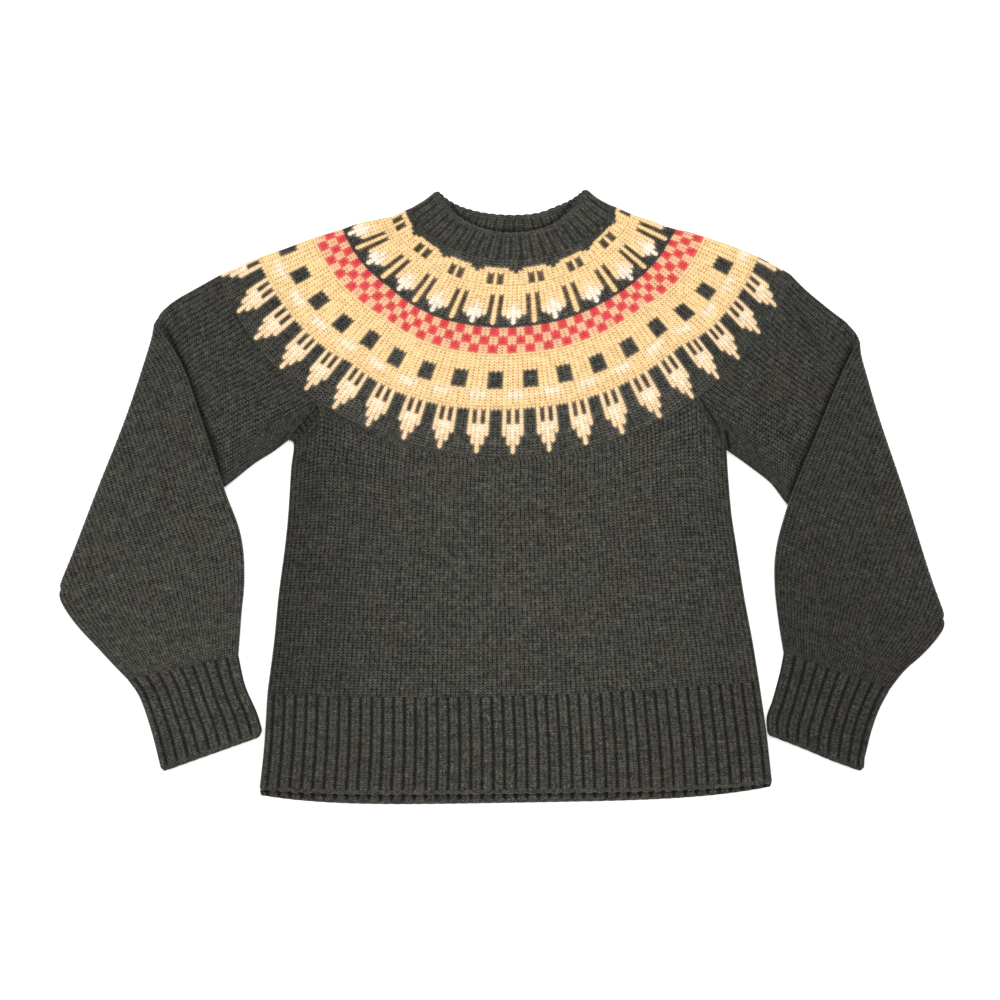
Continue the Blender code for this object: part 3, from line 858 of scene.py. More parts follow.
def knit_strip(knitting, place, stitches, courses, relief, colours, span=(0.0, 1.0), ring=None,
               closed=False, rib=0.0, flip=False, inside=False, open_edges=(False, False), scallop=0.0,
               thin=(1.0, 1.0), lean=PLAIN_LEAN, shown=None):
    """Knits a strip of whole stitches and returns its first and last rows and its two side columns.

    Each stitch is a V of two legs, and each leg is a patch with low corners and a raised middle. In spot,
    s counts stitches across, t counts courses down and lift is how far a point is raised, up to 1.
    """
    columns = 2 * stitches
    column = np.arange(columns + 1)
    course = np.arange(courses + 1)
    line = course.astype(float)
    line[0], line[-1] = 1 - thin[0], courses - 1 + thin[1]
    grid_s, grid_t = np.meshgrid(column / 2, line)
    inner_rows = ((course > 0) & (course < courses))[:, None]
    grid_t = np.minimum(grid_t + lean * (column % 2)[None, :] * inner_rows, line[-1] - 0.08 * inner_rows)
    leg_s = grid_s[:-1, :-1] + 0.25
    leg_t = (grid_t[:-1, :-1] + grid_t[1:, :-1] + grid_t[:-1, 1:] + grid_t[1:, 1:]) / 4

    # spot gives each point's place and its painted shade
    def spot(s, t, lift):
        valley = purl_valley(s) if rib else np.zeros_like(s)
        ends = [np.zeros_like(t)]
        short = np.zeros_like(t)
        for is_open, from_end in zip(open_edges, (t, courses - t)):
            if is_open:
                ends.append(ease(1 - from_end / EDGE_ROLL))
                notch = purl_valley(s, 1.8) if rib else valley
                short += scallop * notch * ease(1 - from_end / NOTCH_REACH) * (1 if from_end is t else -1)
        end = np.maximum.reduce(ends)
        if inside:
            depth = WALL + (1.45 * valley - 0.95 - 0.3 * lift if rib else 0.0)
            depth = mix(depth, WALL / 2 + 0.35 + 0.4 * valley, end)
        else:
            depth = rib * valley + relief * (0.6 - lift) * (1 - 0.5 * valley)
            depth = mix(depth, WALL / 2 - 0.35 + 0.4 * valley, end)
        # takes the painted shade of the purl columns away at a cast-off edge
        cast_off = ease(2.2 - (courses - t) / CAST_OFF) if open_edges[1] else np.zeros_like(t)
        cast_off = np.maximum(cast_off, ease(2.2 - t / CAST_OFF)) if open_edges[0] else cast_off
        painted_shade = -cast_off
        # painted shadow on the back's inner rib under the front hem's edge, in wedges down the purl columns
        if inside and shown is not None:
            below = t - (courses - shown(s / stitches))
            wide = np.maximum(1.2 * (1 - below / SHADE_REACH), 0.02)
            gap = ease(1.4 - np.abs(off_purl(s)) / wide) * (below < SHADE_REACH)
            painted_shade = np.where(below < 0, 1.0, 2 * gap - 1)
        portion = (t - line[0]) / (line[-1] - line[0])
        turn = s / stitches if ring is None else ring(s, portion)
        down = span[0] + (span[1] - span[0]) * (portion + short / courses)
        points = place(turn, down, depth)
        # painted shadow along the gaps and grooves, kept with the point's other painted shade
        shade = gap_shade(points[..., :2], points[..., 2])
        return points, np.where(shade > 0.02, np.maximum(painted_shade, shade), painted_shade)

    used = columns if closed else columns + 1
    corner_lift = np.where(column % 2, mix(0.75, 0.30, lean), 0.0)
    if rib:
        corner_lift = np.where(column % (2 * RIB_STITCHES) == 2, 0.55, corner_lift)
    corner_lift = corner_lift[None, :used] * np.ones((courses + 1, 1))
    corners = knitting.add_points(*spot(grid_s[:, :used], grid_t[:, :used], corner_lift))
    if closed:
        corners = np.concatenate([corners, corners[:, :1]], axis=1)
    legs = knitting.add_points(*spot(leg_s, leg_t, np.ones_like(leg_s)))

    leg_colours = np.broadcast_to(colours, (courses, columns, 3))
    bled = corner_colours(leg_colours, closed)
    places = np.stack([grid_s, grid_t], axis=-1)
    leg_places = np.stack([leg_s, leg_t], axis=-1)
    around = ((slice(None, -1), slice(None, -1)), (slice(1, None), slice(None, -1)),
              (slice(1, None), slice(1, None)), (slice(None, -1), slice(1, None)))
    for this, following in zip(around, around[1:] + around[:1]):
        triangle = np.stack([corners[this], corners[following], legs], axis=-1)
        place_of = np.stack([places[this], places[following], leg_places], axis=-2)
        one, two = (leg_colours + (bled[which] - leg_colours) * BLEED for which in (this, following))
        colour_of = np.stack([one, two, leg_colours], axis=-2)
        knitting.add_triangles(triangle.reshape(-1, 3), place_of.reshape(-1, 3, 2),
                               colour_of.reshape(-1, 3, 3), flip)
    shares = column / columns
    rows = [shares if ring is None else ring(column / 2, np.full(columns + 1, end)) for end in (0.0, 1.0)]
    return edges_of(corners, used, *rows, course / courses)


def spun(colours, chance):
    """Yarn colours for every leg of every stitch, with the unevenness of heathered yarn."""
    dark = 1 - ease(colours.mean(axis=-1, keepdims=True) / 0.25)
    courses, stitches = colours.shape[:2]
    leg = chance.normal(0.0, 1.0, (courses, 2 * stitches, 1))
    each = np.repeat(chance.normal(0.0, 1.0, (courses, stitches, 1)), 2, axis=1)
    run = np.repeat(chance.normal(0.0, 1.0, (courses, stitches // 9 + 3, 1)), 18, axis=1)[:, :2 * stitches]
    colours, dark = np.repeat(colours, 2, axis=1), np.repeat(dark, 2, axis=1)
    uneven = leg * (0.02 + 0.20 * dark) + each * (0.03 + 0.10 * dark) + run * (0.015 + 0.05 * dark)
    return colours * np.clip(1 + uneven, 0.25, 1.9)


def toned(colours, start, end, left=0.0, right=0.0):
    """Colours deepened down a piece and towards its side edges: painted shade, over each piece's own tone.
    """
    courses, columns = colours.shape[:2]
    across = np.linspace(-1.0, 1.0, columns)[:, None]
    sides = left * np.clip(-across, 0, 1) ** 2 + right * np.clip(across, 0, 1) ** 2
    return colours * mix(start, end, np.linspace(0, 1, courses))[:, None, None] * (1 - sides)


def one_yarn(base, courses, stitches, chance, *tones):
    """Spun and toned colours for a piece that is knitted in a single yarn."""
    return toned(spun(np.full((courses, stitches, 3), base), chance), *tones)


def plain_skin(knitting, place, columns, rows, closed, base, flip):
    """The inner side of a piece where it hardly shows: a plain grid at the depth of the wall."""
    share, down = np.meshgrid(np.linspace(0, 1, columns + 1), np.linspace(0, 1, rows + 1))
    used = columns if closed else columns + 1
    points = place(share[:, :used], down[:, :used], np.full(share[:, :used].shape, WALL))
    corners = knitting.add_points(points, 0.0)
    if closed:
        corners = np.concatenate([corners, corners[:, :1]], axis=1)
    a, b, c, d = corners[:-1, :-1], corners[1:, :-1], corners[1:, 1:], corners[:-1, 1:]
    halves = [np.stack(three, -1).reshape(-1, 3) for three in ((a, b, c), (a, c, d))]
    knitting.add_plain(np.concatenate(halves), base, not flip)
    return edges_of(corners, used, share[0], share[-1], down[:, 0])


def close_rims(knitting, outer, inner, closed, base, flip):
    """Joins the outer and inner skins along every edge of a piece."""
    knitting.join(outer["first"], inner["first"], base, not flip, closed)
    knitting.join(outer["last"], inner["last"], base, flip, closed)
    if not closed:
        knitting.join(outer["left"], inner["left"], base, flip, False)
        knitting.join(outer["right"], inner["right"], base, not flip, False)


def knit_plain(name, material, place, stitches, courses, base, lining, closed, flip, **settings):
    """Knits a piece in stockinette, with a simpler inner side."""
    cloth = Knitting()
    outer = knit_strip(cloth, place, stitches, courses, closed=closed, flip=flip, **settings)
    inner = plain_skin(cloth, place, *lining, closed, base, flip)
    close_rims(cloth, outer, inner, closed, base, flip)
    return cloth.make(name, material)


def knit_rib(name, material, place, stitches, courses, base, closed, flip, **settings):
    """Knits a ribbed piece, of which both sides show at the open edge."""
    cloth = Knitting()
    sides = []
    for inside in (False, True):
        sides.append(knit_strip(cloth, place, stitches, courses, closed=closed, flip=flip != inside,
                                inside=inside, **settings))
    close_rims(cloth, *sides, closed, base, flip)
    return cloth.make(name, material)


def finish_piece(piece, node):
    """Hangs the piece under the root body and hides the imported part that it stands for."""
    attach(piece, "root")
    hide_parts(node)


# ---------------------------------------------------------------- yarn materials

def add_node(tree, kind, **values):
    """A node with its own properties set."""
    node = tree.nodes.new(kind)
    for name, value in values.items():
        setattr(node, name, value)
    return node


def set_inputs(node, **values):
    """Sets a node's sockets; underscores in the names stand for spaces."""
    for name, value in values.items():
        node.inputs[name.replace("_", " ")].default_value = value
    return node


def group_sockets(tree, inputs, outputs):
    """Makes a node group's sockets and returns its input and output nodes."""
    for name, kind, default in inputs:
        socket = tree.interface.new_socket(name, in_out="INPUT", socket_type=kind)
        if default is not None:
            socket.default_value = default
    for name, kind in outputs:
        tree.interface.new_socket(name, in_out="OUTPUT", socket_type=kind)
    return tree.nodes.new("NodeGroupInput"), tree.nodes.new("NodeGroupOutput")


def feed(tree, sockets, values):
    """Links each socket to its value where that is a socket too, and sets it to the value otherwise."""
    for socket, value in zip(sockets, values):
        if isinstance(value, bpy.types.NodeSocket):
            tree.links.new(value, socket)
        else:
            socket.default_value = value


def math_node(tree, operation, *values):
    """A Math node whose inputs are sockets or numbers; returns its output."""
    node = add_node(tree, "ShaderNodeMath", operation=operation)
    feed(tree, node.inputs, values)
    return node.outputs[0]


def mix_colours(tree, blend_type, factor, one, two):
    """A Mix node for colours; returns its output."""
    node = add_node(tree, "ShaderNodeMix", data_type="RGBA", blend_type=blend_type)
    feed(tree, [node.inputs[index] for index in (0, 6, 7)], (factor, one, two))
    return node.outputs[2]


def noise(tree, vector, scale, detail=2.0, roughness=0.5):
    """A noise texture; returns its value."""
    node = add_node(tree, "ShaderNodeTexNoise")
    set_inputs(node, Scale=scale, Detail=detail, Roughness=roughness)
    tree.links.new(vector, node.inputs["Vector"])
    return node.outputs["Fac"]


def stretched(tree, vector, scale):
    """A vector scaled by its own amount on each axis."""
    node = add_node(tree, "ShaderNodeMapping")
    node.inputs["Scale"].default_value = scale
    tree.links.new(vector, node.inputs["Vector"])
    return node.outputs["Vector"]


def mix_values(tree, factor, one, two):
    """A Mix node for numbers; returns its output."""
    node = add_node(tree, "ShaderNodeMix", data_type="FLOAT")
    feed(tree, [node.inputs[index] for index in (0, 2, 3)], (factor, one, two))
    return node.outputs[0]


def ramp(tree, value, start, end):
    """Goes smoothly from 0 at the start value to 1 at the end value."""
    node = add_node(tree, "ShaderNodeMapRange", interpolation_type="SMOOTHSTEP")
    tree.links.new(value, node.inputs["Value"])
    if end < start:
        set_inputs(node, From_Min=end, From_Max=start, To_Min=1.0, To_Max=0.0)
    else:
        set_inputs(node, From_Min=start, From_Max=end)
    return node.outputs["Result"]


def heather_group():
    """Yarn spun from fibres of several shades, which shows as flecks, streaks and soft patches."""
    tree = bpy.data.node_groups.new("Heathered yarn", "ShaderNodeTree")
    calc = functools.partial(math_node, tree)
    start, end = group_sockets(
        tree,
        (("Yarn", "NodeSocketColor", (0.05, 0.05, 0.05, 1.0)), ("Stitches", "NodeSocketVector", None),
         ("Place", "NodeSocketVector", None), ("Warm Fibre", "NodeSocketColor", (0.1, 0.05, 0.03, 1.0)),
         ("Cool Fibre", "NodeSocketColor", (0.04, 0.06, 0.05, 1.0)), ("Dark Flecks", "NodeSocketFloat", 1.0),
         ("Light Flecks", "NodeSocketFloat", 0.2), ("Patches", "NodeSocketFloat", 0.5)),
        (("Color", "NodeSocketColor"), ("Depth", "NodeSocketFloat")),
    )
    bright = add_node(tree, "ShaderNodeRGBToBW")
    tree.links.new(start.outputs["Yarn"], bright.inputs[0])
    dark = ramp(tree, bright.outputs[0], 0.22, 0.06)
    fleck = noise(tree, start.outputs["Place"], FLECK_SCALE, 1.0, 0.6)
    streak = noise(tree, stretched(tree, start.outputs["Stitches"], (0.2, 0.9, 1.0)), 1.0, 2.0, 0.6)
    patch = noise(tree, start.outputs["Place"], PATCH_SCALE, 3.0, 0.6)
    amount = mix_values(tree, dark, start.outputs["Light Flecks"], start.outputs["Dark Flecks"])
    spread = calc("MULTIPLY", calc("SUBTRACT", fleck, 0.5), 3.0)
    spread = calc("ADD", spread, calc("SUBTRACT", streak, 0.5))
    shade = calc("MAXIMUM", calc("MULTIPLY_ADD", spread, amount, 1.0), 0.15)
    warm = calc("MULTIPLY", calc("SUBTRACT", patch, 0.5), 4.0)
    warm = calc("MULTIPLY_ADD", calc("SUBTRACT", streak, 0.5), 2.5, warm)
    warm = calc("MULTIPLY", calc("MULTIPLY", warm, start.outputs["Patches"]), dark)
    colour = start.outputs["Yarn"]
    for share, fibre in ((warm, "Warm Fibre"), (calc("MULTIPLY", warm, -1.0), "Cool Fibre")):
        colour = mix_colours(tree, "MIX", ramp(tree, share, 0.0, 1.0), colour, start.outputs[fibre])
    scaled = add_node(tree, "ShaderNodeVectorMath", operation="SCALE")
    tree.links.new(colour, scaled.inputs[0])
    tree.links.new(shade, scaled.inputs["Scale"])
    tree.links.new(scaled.outputs[0], end.inputs["Color"])
    tree.links.new(dark, end.inputs["Depth"])
    return tree


def stitch_group():
    """Stitch detail from the stitch places: twisted strands, grooves and the small holes between Vs, as
    bumps and as masks of painted shade.
    """
    tree = bpy.data.node_groups.new("Stitch detail", "ShaderNodeTree")
    calc = functools.partial(math_node, tree)
    start, end = group_sockets(
        tree,
        (("Stitches", "NodeSocketVector", None), ("Place", "NodeSocketVector", None),
         ("Fuzz", "NodeSocketFloat", 0.5), ("Lean", "NodeSocketFloat", 0.5),
         ("Dot Height", "NodeSocketFloat", 2.2), ("Rib Gap", "NodeSocketFloat", 0.14),
         ("Rib Middle", "NodeSocketFloat", 0.0)),
        (("Height", "NodeSocketFloat"), ("Hole", "NodeSocketFloat"), ("Strand", "NodeSocketFloat"),
         ("Valley Shade", "NodeSocketFloat")),
    )
    parts = add_node(tree, "ShaderNodeSeparateXYZ")
    tree.links.new(start.outputs["Stitches"], parts.inputs[0])
    s, t = parts.outputs["X"], parts.outputs["Y"]
    from_middle = calc("ABSOLUTE", calc("SUBTRACT", calc("FRACT", s), 0.5))
    towards = calc("MULTIPLY_ADD", from_middle, -2.0, 1.0)
    dip = calc("MULTIPLY", towards, start.outputs["Lean"])
    leg_t = calc("SUBTRACT", t, dip)
    strand = calc("SINE", calc("MULTIPLY", calc("FRACT", leg_t), math.pi))
    wobble = noise(tree, start.outputs["Place"], HOLE_SCALE, 1.0, 0.5)
    near = calc("PINGPONG", leg_t, 0.5)
    spots = []
    from_side = calc("SUBTRACT", 0.5, from_middle)
    for across, wide, tall in ((from_side, 3.2, start.outputs["Dot Height"]), (from_middle, 6.0, 2.8)):
        far = calc("POWER", calc("MULTIPLY", across, wide), 2.0)
        along_leg = calc("POWER", calc("MULTIPLY", near, tall), 2.0)
        far = calc("ADD", far, along_leg)
        spots.append(calc("SUBTRACT", 1.0, far))
    hole = calc("MAXIMUM", spots[0], calc("MULTIPLY", spots[1], 0.6))
    wobble = calc("MULTIPLY_ADD", ramp(tree, wobble, 0.42, 0.66), 0.65, 0.35)
    hole = ramp(tree, calc("MULTIPLY", hole, wobble), 0.0, 0.5)
    # painted shade of the ribs: a dark line down each purl column, and a fainter one between the two knit
    # columns
    rib = calc("MULTIPLY_ADD", s, 1 / RIB_STITCHES, 0.5 - PURL_MIDDLE / RIB_STITCHES)
    rib = calc("ABSOLUTE", calc("SUBTRACT", calc("FRACT", rib), 0.5))
    ply = calc("ADD", calc("MULTIPLY", leg_t, 2.0), calc("MULTIPLY", s, 4.0))
    ply = calc("SINE", calc("MULTIPLY", ply, math.tau))
    fuzz = noise(tree, start.outputs["Place"], FUZZ_SCALE, 3.0, 0.7)
    middle = calc("MULTIPLY", ramp(tree, rib, 0.42, 0.48), start.outputs["Rib Middle"])
    rib = calc("SUBTRACT", rib, start.outputs["Rib Gap"])
    rib = calc("MULTIPLY_ADD", calc("SUBTRACT", fuzz, 0.5), 0.42, rib)
    valley = calc("MAXIMUM", ramp(tree, rib, 0.06, -0.06), middle)
    tree.links.new(valley, end.inputs["Valley Shade"])
    height = calc("MULTIPLY", fuzz, start.outputs["Fuzz"])
    height = calc("MULTIPLY_ADD", ply, 0.12, height)
    height = calc("MULTIPLY_ADD", strand, 0.5, height)
    tree.links.new(height, end.inputs["Height"])
    tree.links.new(hole, end.inputs["Hole"])
    tree.links.new(strand, end.inputs["Strand"])
    return tree


def crease_group():
    """Painted shadows of the narrow folds that run up from the armpits, on the top of the cloth."""
    tree = bpy.data.node_groups.new("Armpit crease shadows", "ShaderNodeTree")
    calc = functools.partial(math_node, tree)
    start, end = group_sockets(tree, (("Place", "NodeSocketVector", None),), (("Shade", "NodeSocketFloat"),))
    parts = add_node(tree, "ShaderNodeSeparateXYZ")
    tree.links.new(start.outputs["Place"], parts.inputs[0])
    x, y, z = (parts.outputs[axis] for axis in "XYZ")
    waver = calc("MULTIPLY_ADD", noise(tree, start.outputs["Place"], WAVER_SCALE), 2.0, -1.0)
    shade = None
    for x1, y1, x2, y2, half_width, depth in ARMPIT_CREASE_SHADOWS:
        run = math.hypot(x2 - x1, y2 - y1)
        right, up = (x2 - x1) / run, (y2 - y1) / run
        far = calc("MULTIPLY_ADD", x, right / run / MM, -(x1 * right + y1 * up) / run - 0.5)
        far = calc("ABSOLUTE", calc("MULTIPLY_ADD", y, up / run / MM, far))
        beside = calc("MULTIPLY_ADD", x, -up / MM, x1 * up - y1 * right)
        beside = calc("MULTIPLY_ADD", y, right / MM, beside)
        beside = calc("ABSOLUTE", calc("ADD", beside, waver))
        line = calc("MULTIPLY", ramp(tree, beside, 1.7 * half_width, 0.4 * half_width), depth)
        line = calc("MULTIPLY", line, ramp(tree, far, 0.5, 0.3))
        shade = calc("MAXIMUM", shade, line) if shade else line
    tree.links.new(calc("MULTIPLY", shade, ramp(tree, z, 0.003, 0.005)), end.inputs["Shade"])
    return tree


def wool(name, lean=PLAIN_LEAN, shade=1.0, flecks=0.85, dot_height=1.8, crease_shadows=False, rib_gap=0.0,
         rib_shade=0.0, middle=0.0):
    """Heathered, slightly brushed wool; its yarn colour is painted on the stitches, with painted shade in
    holes, grooves, ribs, creases and gaps.
    """
    material = bpy.data.materials.get(name)
    if material:
        return material
    material = bpy.data.materials.new(name)
    material.use_nodes = True
    tree = material.node_tree
    calc = functools.partial(math_node, tree)
    shader = tree.nodes["Principled BSDF"]
    yarn = add_node(tree, "ShaderNodeAttribute", attribute_name="yarn")
    painted_shade = add_node(tree, "ShaderNodeAttribute", attribute_name="painted_shade")
    places = add_node(tree, "ShaderNodeUVMap", uv_map="stitches")
    coordinates = add_node(tree, "ShaderNodeTexCoord")

    heather = add_node(tree, "ShaderNodeGroup")
    heather.node_tree = bpy.data.node_groups.get("Heathered yarn") or heather_group()
    set_inputs(heather, Warm_Fibre=(0.085, 0.058, 0.042, 1), Cool_Fibre=(0.050, 0.062, 0.050, 1),
               Dark_Flecks=flecks, Light_Flecks=0.12, Patches=0.4)
    tree.links.new(yarn.outputs["Color"], heather.inputs["Yarn"])
    stitch = add_node(tree, "ShaderNodeGroup")
    stitch.node_tree = bpy.data.node_groups.get("Stitch detail") or stitch_group()
    set_inputs(stitch, Lean=lean, Dot_Height=dot_height, Rib_Gap=rib_gap, Rib_Middle=middle)
    for group in (heather, stitch):
        tree.links.new(places.outputs["UV"], group.inputs["Stitches"])
        tree.links.new(coordinates.outputs["Object"], group.inputs["Place"])

    dark = heather.outputs["Depth"]
    colour = heather.outputs["Color"]
    # painted shade in the holes between stitches: near black in the charcoal, brownish in the pale yarns,
    # where it is partly the dark floats behind showing through
    bright = add_node(tree, "ShaderNodeRGBToBW")
    tree.links.new(yarn.outputs["Color"], bright.inputs[0])
    pale_hole = mix_values(tree, ramp(tree, bright.outputs[0], 0.74, 0.88), 0.72, 0.32)
    depth = mix_values(tree, dark, pale_hole, 0.89 * shade)
    hole = calc("MULTIPLY", stitch.outputs["Hole"], depth)
    shadow = mix_colours(tree, "MIX", dark, (0.42, 0.28, 0.12, 1), (0.04, 0.04, 0.04, 1))
    colour = mix_colours(tree, "MULTIPLY", hole, colour, shadow)
    # painted shade in the grooves between the strands of each leg
    groove = calc("SUBTRACT", 1.0, stitch.outputs["Strand"])
    groove = calc("MULTIPLY", groove, mix_values(tree, dark, 0.07, 0.54 * shade))
    colour = mix_colours(tree, "MULTIPLY", groove, colour, (0.15, 0.14, 0.13, 1))
    painted_shade = painted_shade.outputs["Fac"]
    # painted shadow along the narrow folds at the armpits
    if crease_shadows:
        creases = add_node(tree, "ShaderNodeGroup")
        creases.node_tree = crease_group()
        tree.links.new(coordinates.outputs["Object"], creases.inputs["Place"])
        painted_shade = calc("MAXIMUM", painted_shade, creases.outputs["Shade"])
    # painted shade along the purl columns of the ribs
    if rib_gap:
        painted_shade = calc("MULTIPLY_ADD", stitch.outputs["Valley Shade"], rib_shade, painted_shade)
    # painted shade of gaps, creases and rib valleys darkens the colour towards near black
    valley = add_node(tree, "ShaderNodeClamp")
    tree.links.new(painted_shade, valley.inputs["Value"])
    colour = mix_colours(tree, "MULTIPLY", valley.outputs[0], colour, (0.13, 0.12, 0.11, 1))
    tree.links.new(colour, shader.inputs["Base Color"])
    bump = add_node(tree, "ShaderNodeBump")
    set_inputs(bump, Strength=0.7, Distance=0.0006)
    tree.links.new(stitch.outputs["Height"], bump.inputs["Height"])
    tree.links.new(bump.outputs["Normal"], shader.inputs["Normal"])
    shader.inputs["Roughness"].default_value = 0.92
    shader.inputs["Specular IOR Level"].default_value = 0.15
    shader.inputs["Sheen Weight"].default_value = 0.10
    shader.inputs["Sheen Roughness"].default_value = 0.55
    return material


def rib_wool():
    """The wool of the hem and the cuffs, with painted shade along the purl columns."""
    return wool("Charcoal rib", shade=0.5, flecks=1.4, rib_gap=0.125, rib_shade=0.95, middle=0.22)


# ---------------------------------------------------------------- what a user can change

def linear(red, green, blue):
    """A colour given in screen values from 0 to 255, as a shader wants it."""
    shares = (red / 255, green / 255, blue / 255)
    return tuple(share / 12.92 if share <= 0.04 else ((share + 0.055) / 1.055) ** 2.4 for share in shares)


class JumperKnit(bpy.types.PropertyGroup):
    """Gauge and relief of the knitting."""
    body_stitch: bpy.props.FloatProperty(
        name="Body Stitch", description="Width of one stitch of the body", default=0.0044, unit="LENGTH")
    course: bpy.props.FloatProperty(
        name="Course", description="Height of one row of the body", default=0.00265, unit="LENGTH")
    rib_stitch: bpy.props.FloatProperty(
        name="Rib Stitch", description="Width of one stitch of the ribs", default=0.0037, unit="LENGTH")
    sleeve_stitches: bpy.props.IntProperty(
        name="Sleeve Stitches", description="Stitches once round a sleeve", default=90, min=20)
    relief: bpy.props.FloatProperty(
        name="Relief", description="How far each stitch leg stands over the gaps", default=0.0008,
        unit="LENGTH")
    rib_depth: bpy.props.FloatProperty(
        name="Rib Depth", description="How far the purl columns lie below the ribs", default=0.0015,
        unit="LENGTH")


class JumperYarns(bpy.types.PropertyGroup):
    """Colours of the yarns."""
    charcoal: bpy.props.FloatVectorProperty(
        name="Charcoal", description="Main yarn", subtype="COLOR", default=linear(81, 80, 73))
    tan: bpy.props.FloatVectorProperty(
        name="Tan", description="Ground of the yoke", subtype="COLOR", default=linear(250, 215, 158))
    pale_tan: bpy.props.FloatVectorProperty(
        name="Pale Tan", description="Where cream fibres spread into the tan", subtype="COLOR",
        default=linear(248, 219, 177))
    cream: bpy.props.FloatVectorProperty(
        name="Cream", description="Flowers, dashes and tips", subtype="COLOR", default=linear(249, 236, 217))
    soft_cream: bpy.props.FloatVectorProperty(
        name="Soft Cream", description="Cream mixed with the tan beside it", subtype="COLOR",
        default=linear(252, 232, 200))
    brown: bpy.props.FloatVectorProperty(
        name="Brown", description="Charcoal stitches among tan ones", subtype="COLOR",
        default=linear(90, 76, 62))
    coral: bpy.props.FloatVectorProperty(
        name="Coral", description="Red squares of the checks", subtype="COLOR", default=linear(227, 72, 79))
    peach: bpy.props.FloatVectorProperty(
        name="Peach", description="Light squares of the checks", subtype="COLOR",
        default=linear(247, 192, 153))


class JumperStage(bpy.types.PropertyGroup):
    """Floor, light and camera."""
    floor: bpy.props.FloatVectorProperty(
        name="Floor", description="Colour of the floor", subtype="COLOR", default=(0.92, 0.92, 0.92))
    glow: bpy.props.FloatProperty(
        name="Floor Glow", description="Light that the lit table gives of its own", default=0.35)
    sky: bpy.props.FloatProperty(
        name="Room Light", description="Strength of the even light from all round", default=0.75)
    lamp: bpy.props.FloatProperty(
        name="Lamp Power", description="Power of the large lamp overhead", default=26.0, subtype="POWER")
    height: bpy.props.FloatProperty(
        name="Camera Height", description="Camera's height over the jumper", default=2.2222, unit="LENGTH")
    lens: bpy.props.FloatProperty(
        name="Lens", description="Focal length", default=80.0, unit="CAMERA")


# ---------------------------------------------------------------- operators

def whole(value):
    """The nearest whole number, at least one."""
    return max(1, int(round(value)))


def begin(context):
    """The settings of the knitting, the main yarn's colour and a seeded source of chance."""
    scene = context.scene
    return scene.jumper_knit, tuple(scene.jumper_yarns.charcoal), np.random.default_rng(SEED)


class JUMPER_OT_body(bpy.types.Operator):
    """Knit the front and the back of the body"""
    bl_idname = "jumper.body"
    bl_label = "Front and Back"

    def execute(self, context):
        knit, base, chance = begin(context)
        stitches, courses = whole(BODY_CLOTH[0] / knit.body_stitch), whole(BODY_CLOTH[1] / knit.course)
        for name, node, facing in (("front_panel", "body_front", 1), ("back_panel", "body_back", -1)):
            shades = one_yarn(base, courses, stitches, chance, *BODY_TONES)
            piece = knit_plain(name, wool("Charcoal wool", crease_shadows=True), panel_placer(facing), stitches,
                               courses, base, BODY_LINING, False, facing < 0, relief=knit.relief / MM,
                               colours=shades)
            finish_piece(piece, node)
        return {"FINISHED"}


class JUMPER_OT_hem(bpy.types.Operator):
    """Knit the front's and the back's hem rib"""
    bl_idname = "jumper.hem"
    bl_label = "Hem Ribs"

    def execute(self, context):
        knit, base, chance = begin(context)
        stitches = whole(HEM_CLOTH[0] / knit.rib_stitch / RIB_STITCHES) * RIB_STITCHES + 2
        courses = whole(HEM_CLOTH[1] / knit.course)
        for name, node, table, facing, scallop, shown in (
            ("front_hem", "hem_rib_front", FRONT_RIB_SIDES, 1, 0.5, None),
            ("back_hem", "hem_rib_back", BACK_RIB_SIDES, -1, 0.1,
             lambda share: mix(1.7, 0.8, share) + 1.8 * (1 - (2 * share - 1) ** 4)),
        ):
            shades = one_yarn(base, courses, stitches, chance, *HEM_TONES)
            piece = knit_rib(name, rib_wool(), hem_placer(table, facing), stitches, courses, base, False,
                             facing < 0, rib=knit.rib_depth / MM, relief=RIB_RELIEF * knit.relief / MM,
                             colours=shades, open_edges=(False, True), scallop=scallop, shown=shown)
            finish_piece(piece, node)
        return {"FINISHED"}


class JUMPER_OT_sleeves(bpy.types.Operator):
    """Knit both sleeves and fold them over at the elbow"""
    bl_idname = "jumper.sleeves"
    bl_label = "Sleeves"

    def execute(self, context):
        knit, base, chance = begin(context)
        stitches, courses = knit.sleeve_stitches, whole(SLEEVE_LENGTH / knit.course)
        # each sleeve's tone at its top and at its cuff end, with painted shade
        for name, node, sleeve, upper, lower, area in (
            ("left_sleeve", "sleeve_left", LEFT_SLEEVE, 0.69, 0.94, 0.144),
            ("right_sleeve", "sleeve_right", RIGHT_SLEEVE, 0.70, 0.56, 0.138),
        ):
            place = sleeve_placer(sleeve, SOFT_CORNERS[node])
            shades = one_yarn(base, courses, stitches, chance, upper, lower)
            piece = knit_plain(name, wool("Charcoal wool", crease_shadows=True), place, stitches, courses, base,
                               SLEEVE_LINING, True, sleeve["side"] > 0, relief=knit.relief / MM,
                               colours=shades)
            finish_piece(piece, node)
        return {"FINISHED"}


class JUMPER_OT_cuffs(bpy.types.Operator):
    """Knit both cuffs"""
    bl_idname = "jumper.cuffs"
    bl_label = "Cuffs"

    def execute(self, context):
        knit, base, chance = begin(context)
        stitches = whole(CUFF_CLOTH[0] / knit.rib_stitch / RIB_STITCHES) * RIB_STITCHES
        courses = whole(CUFF_CLOTH[1] / knit.course)
        # each cuff's tone, with painted shade
        for name, node, sleeve, tone in (("left_cuff", "cuff_left", LEFT_SLEEVE, 0.71),
                                         ("right_cuff", "cuff_right", RIGHT_SLEEVE, 0.49)):
            place = cuff_placer(sleeve, SOFT_CORNERS[node])
            shades = one_yarn(base, courses, stitches, chance, tone, tone)
            piece = knit_rib(name, rib_wool(), place, stitches, courses, base, True, sleeve["side"] > 0,
                             rib=knit.rib_depth / MM, relief=RIB_RELIEF * knit.relief / MM, colours=shades,
                             open_edges=(False, True), scallop=0.1)
            finish_piece(piece, node)
        return {"FINISHED"}


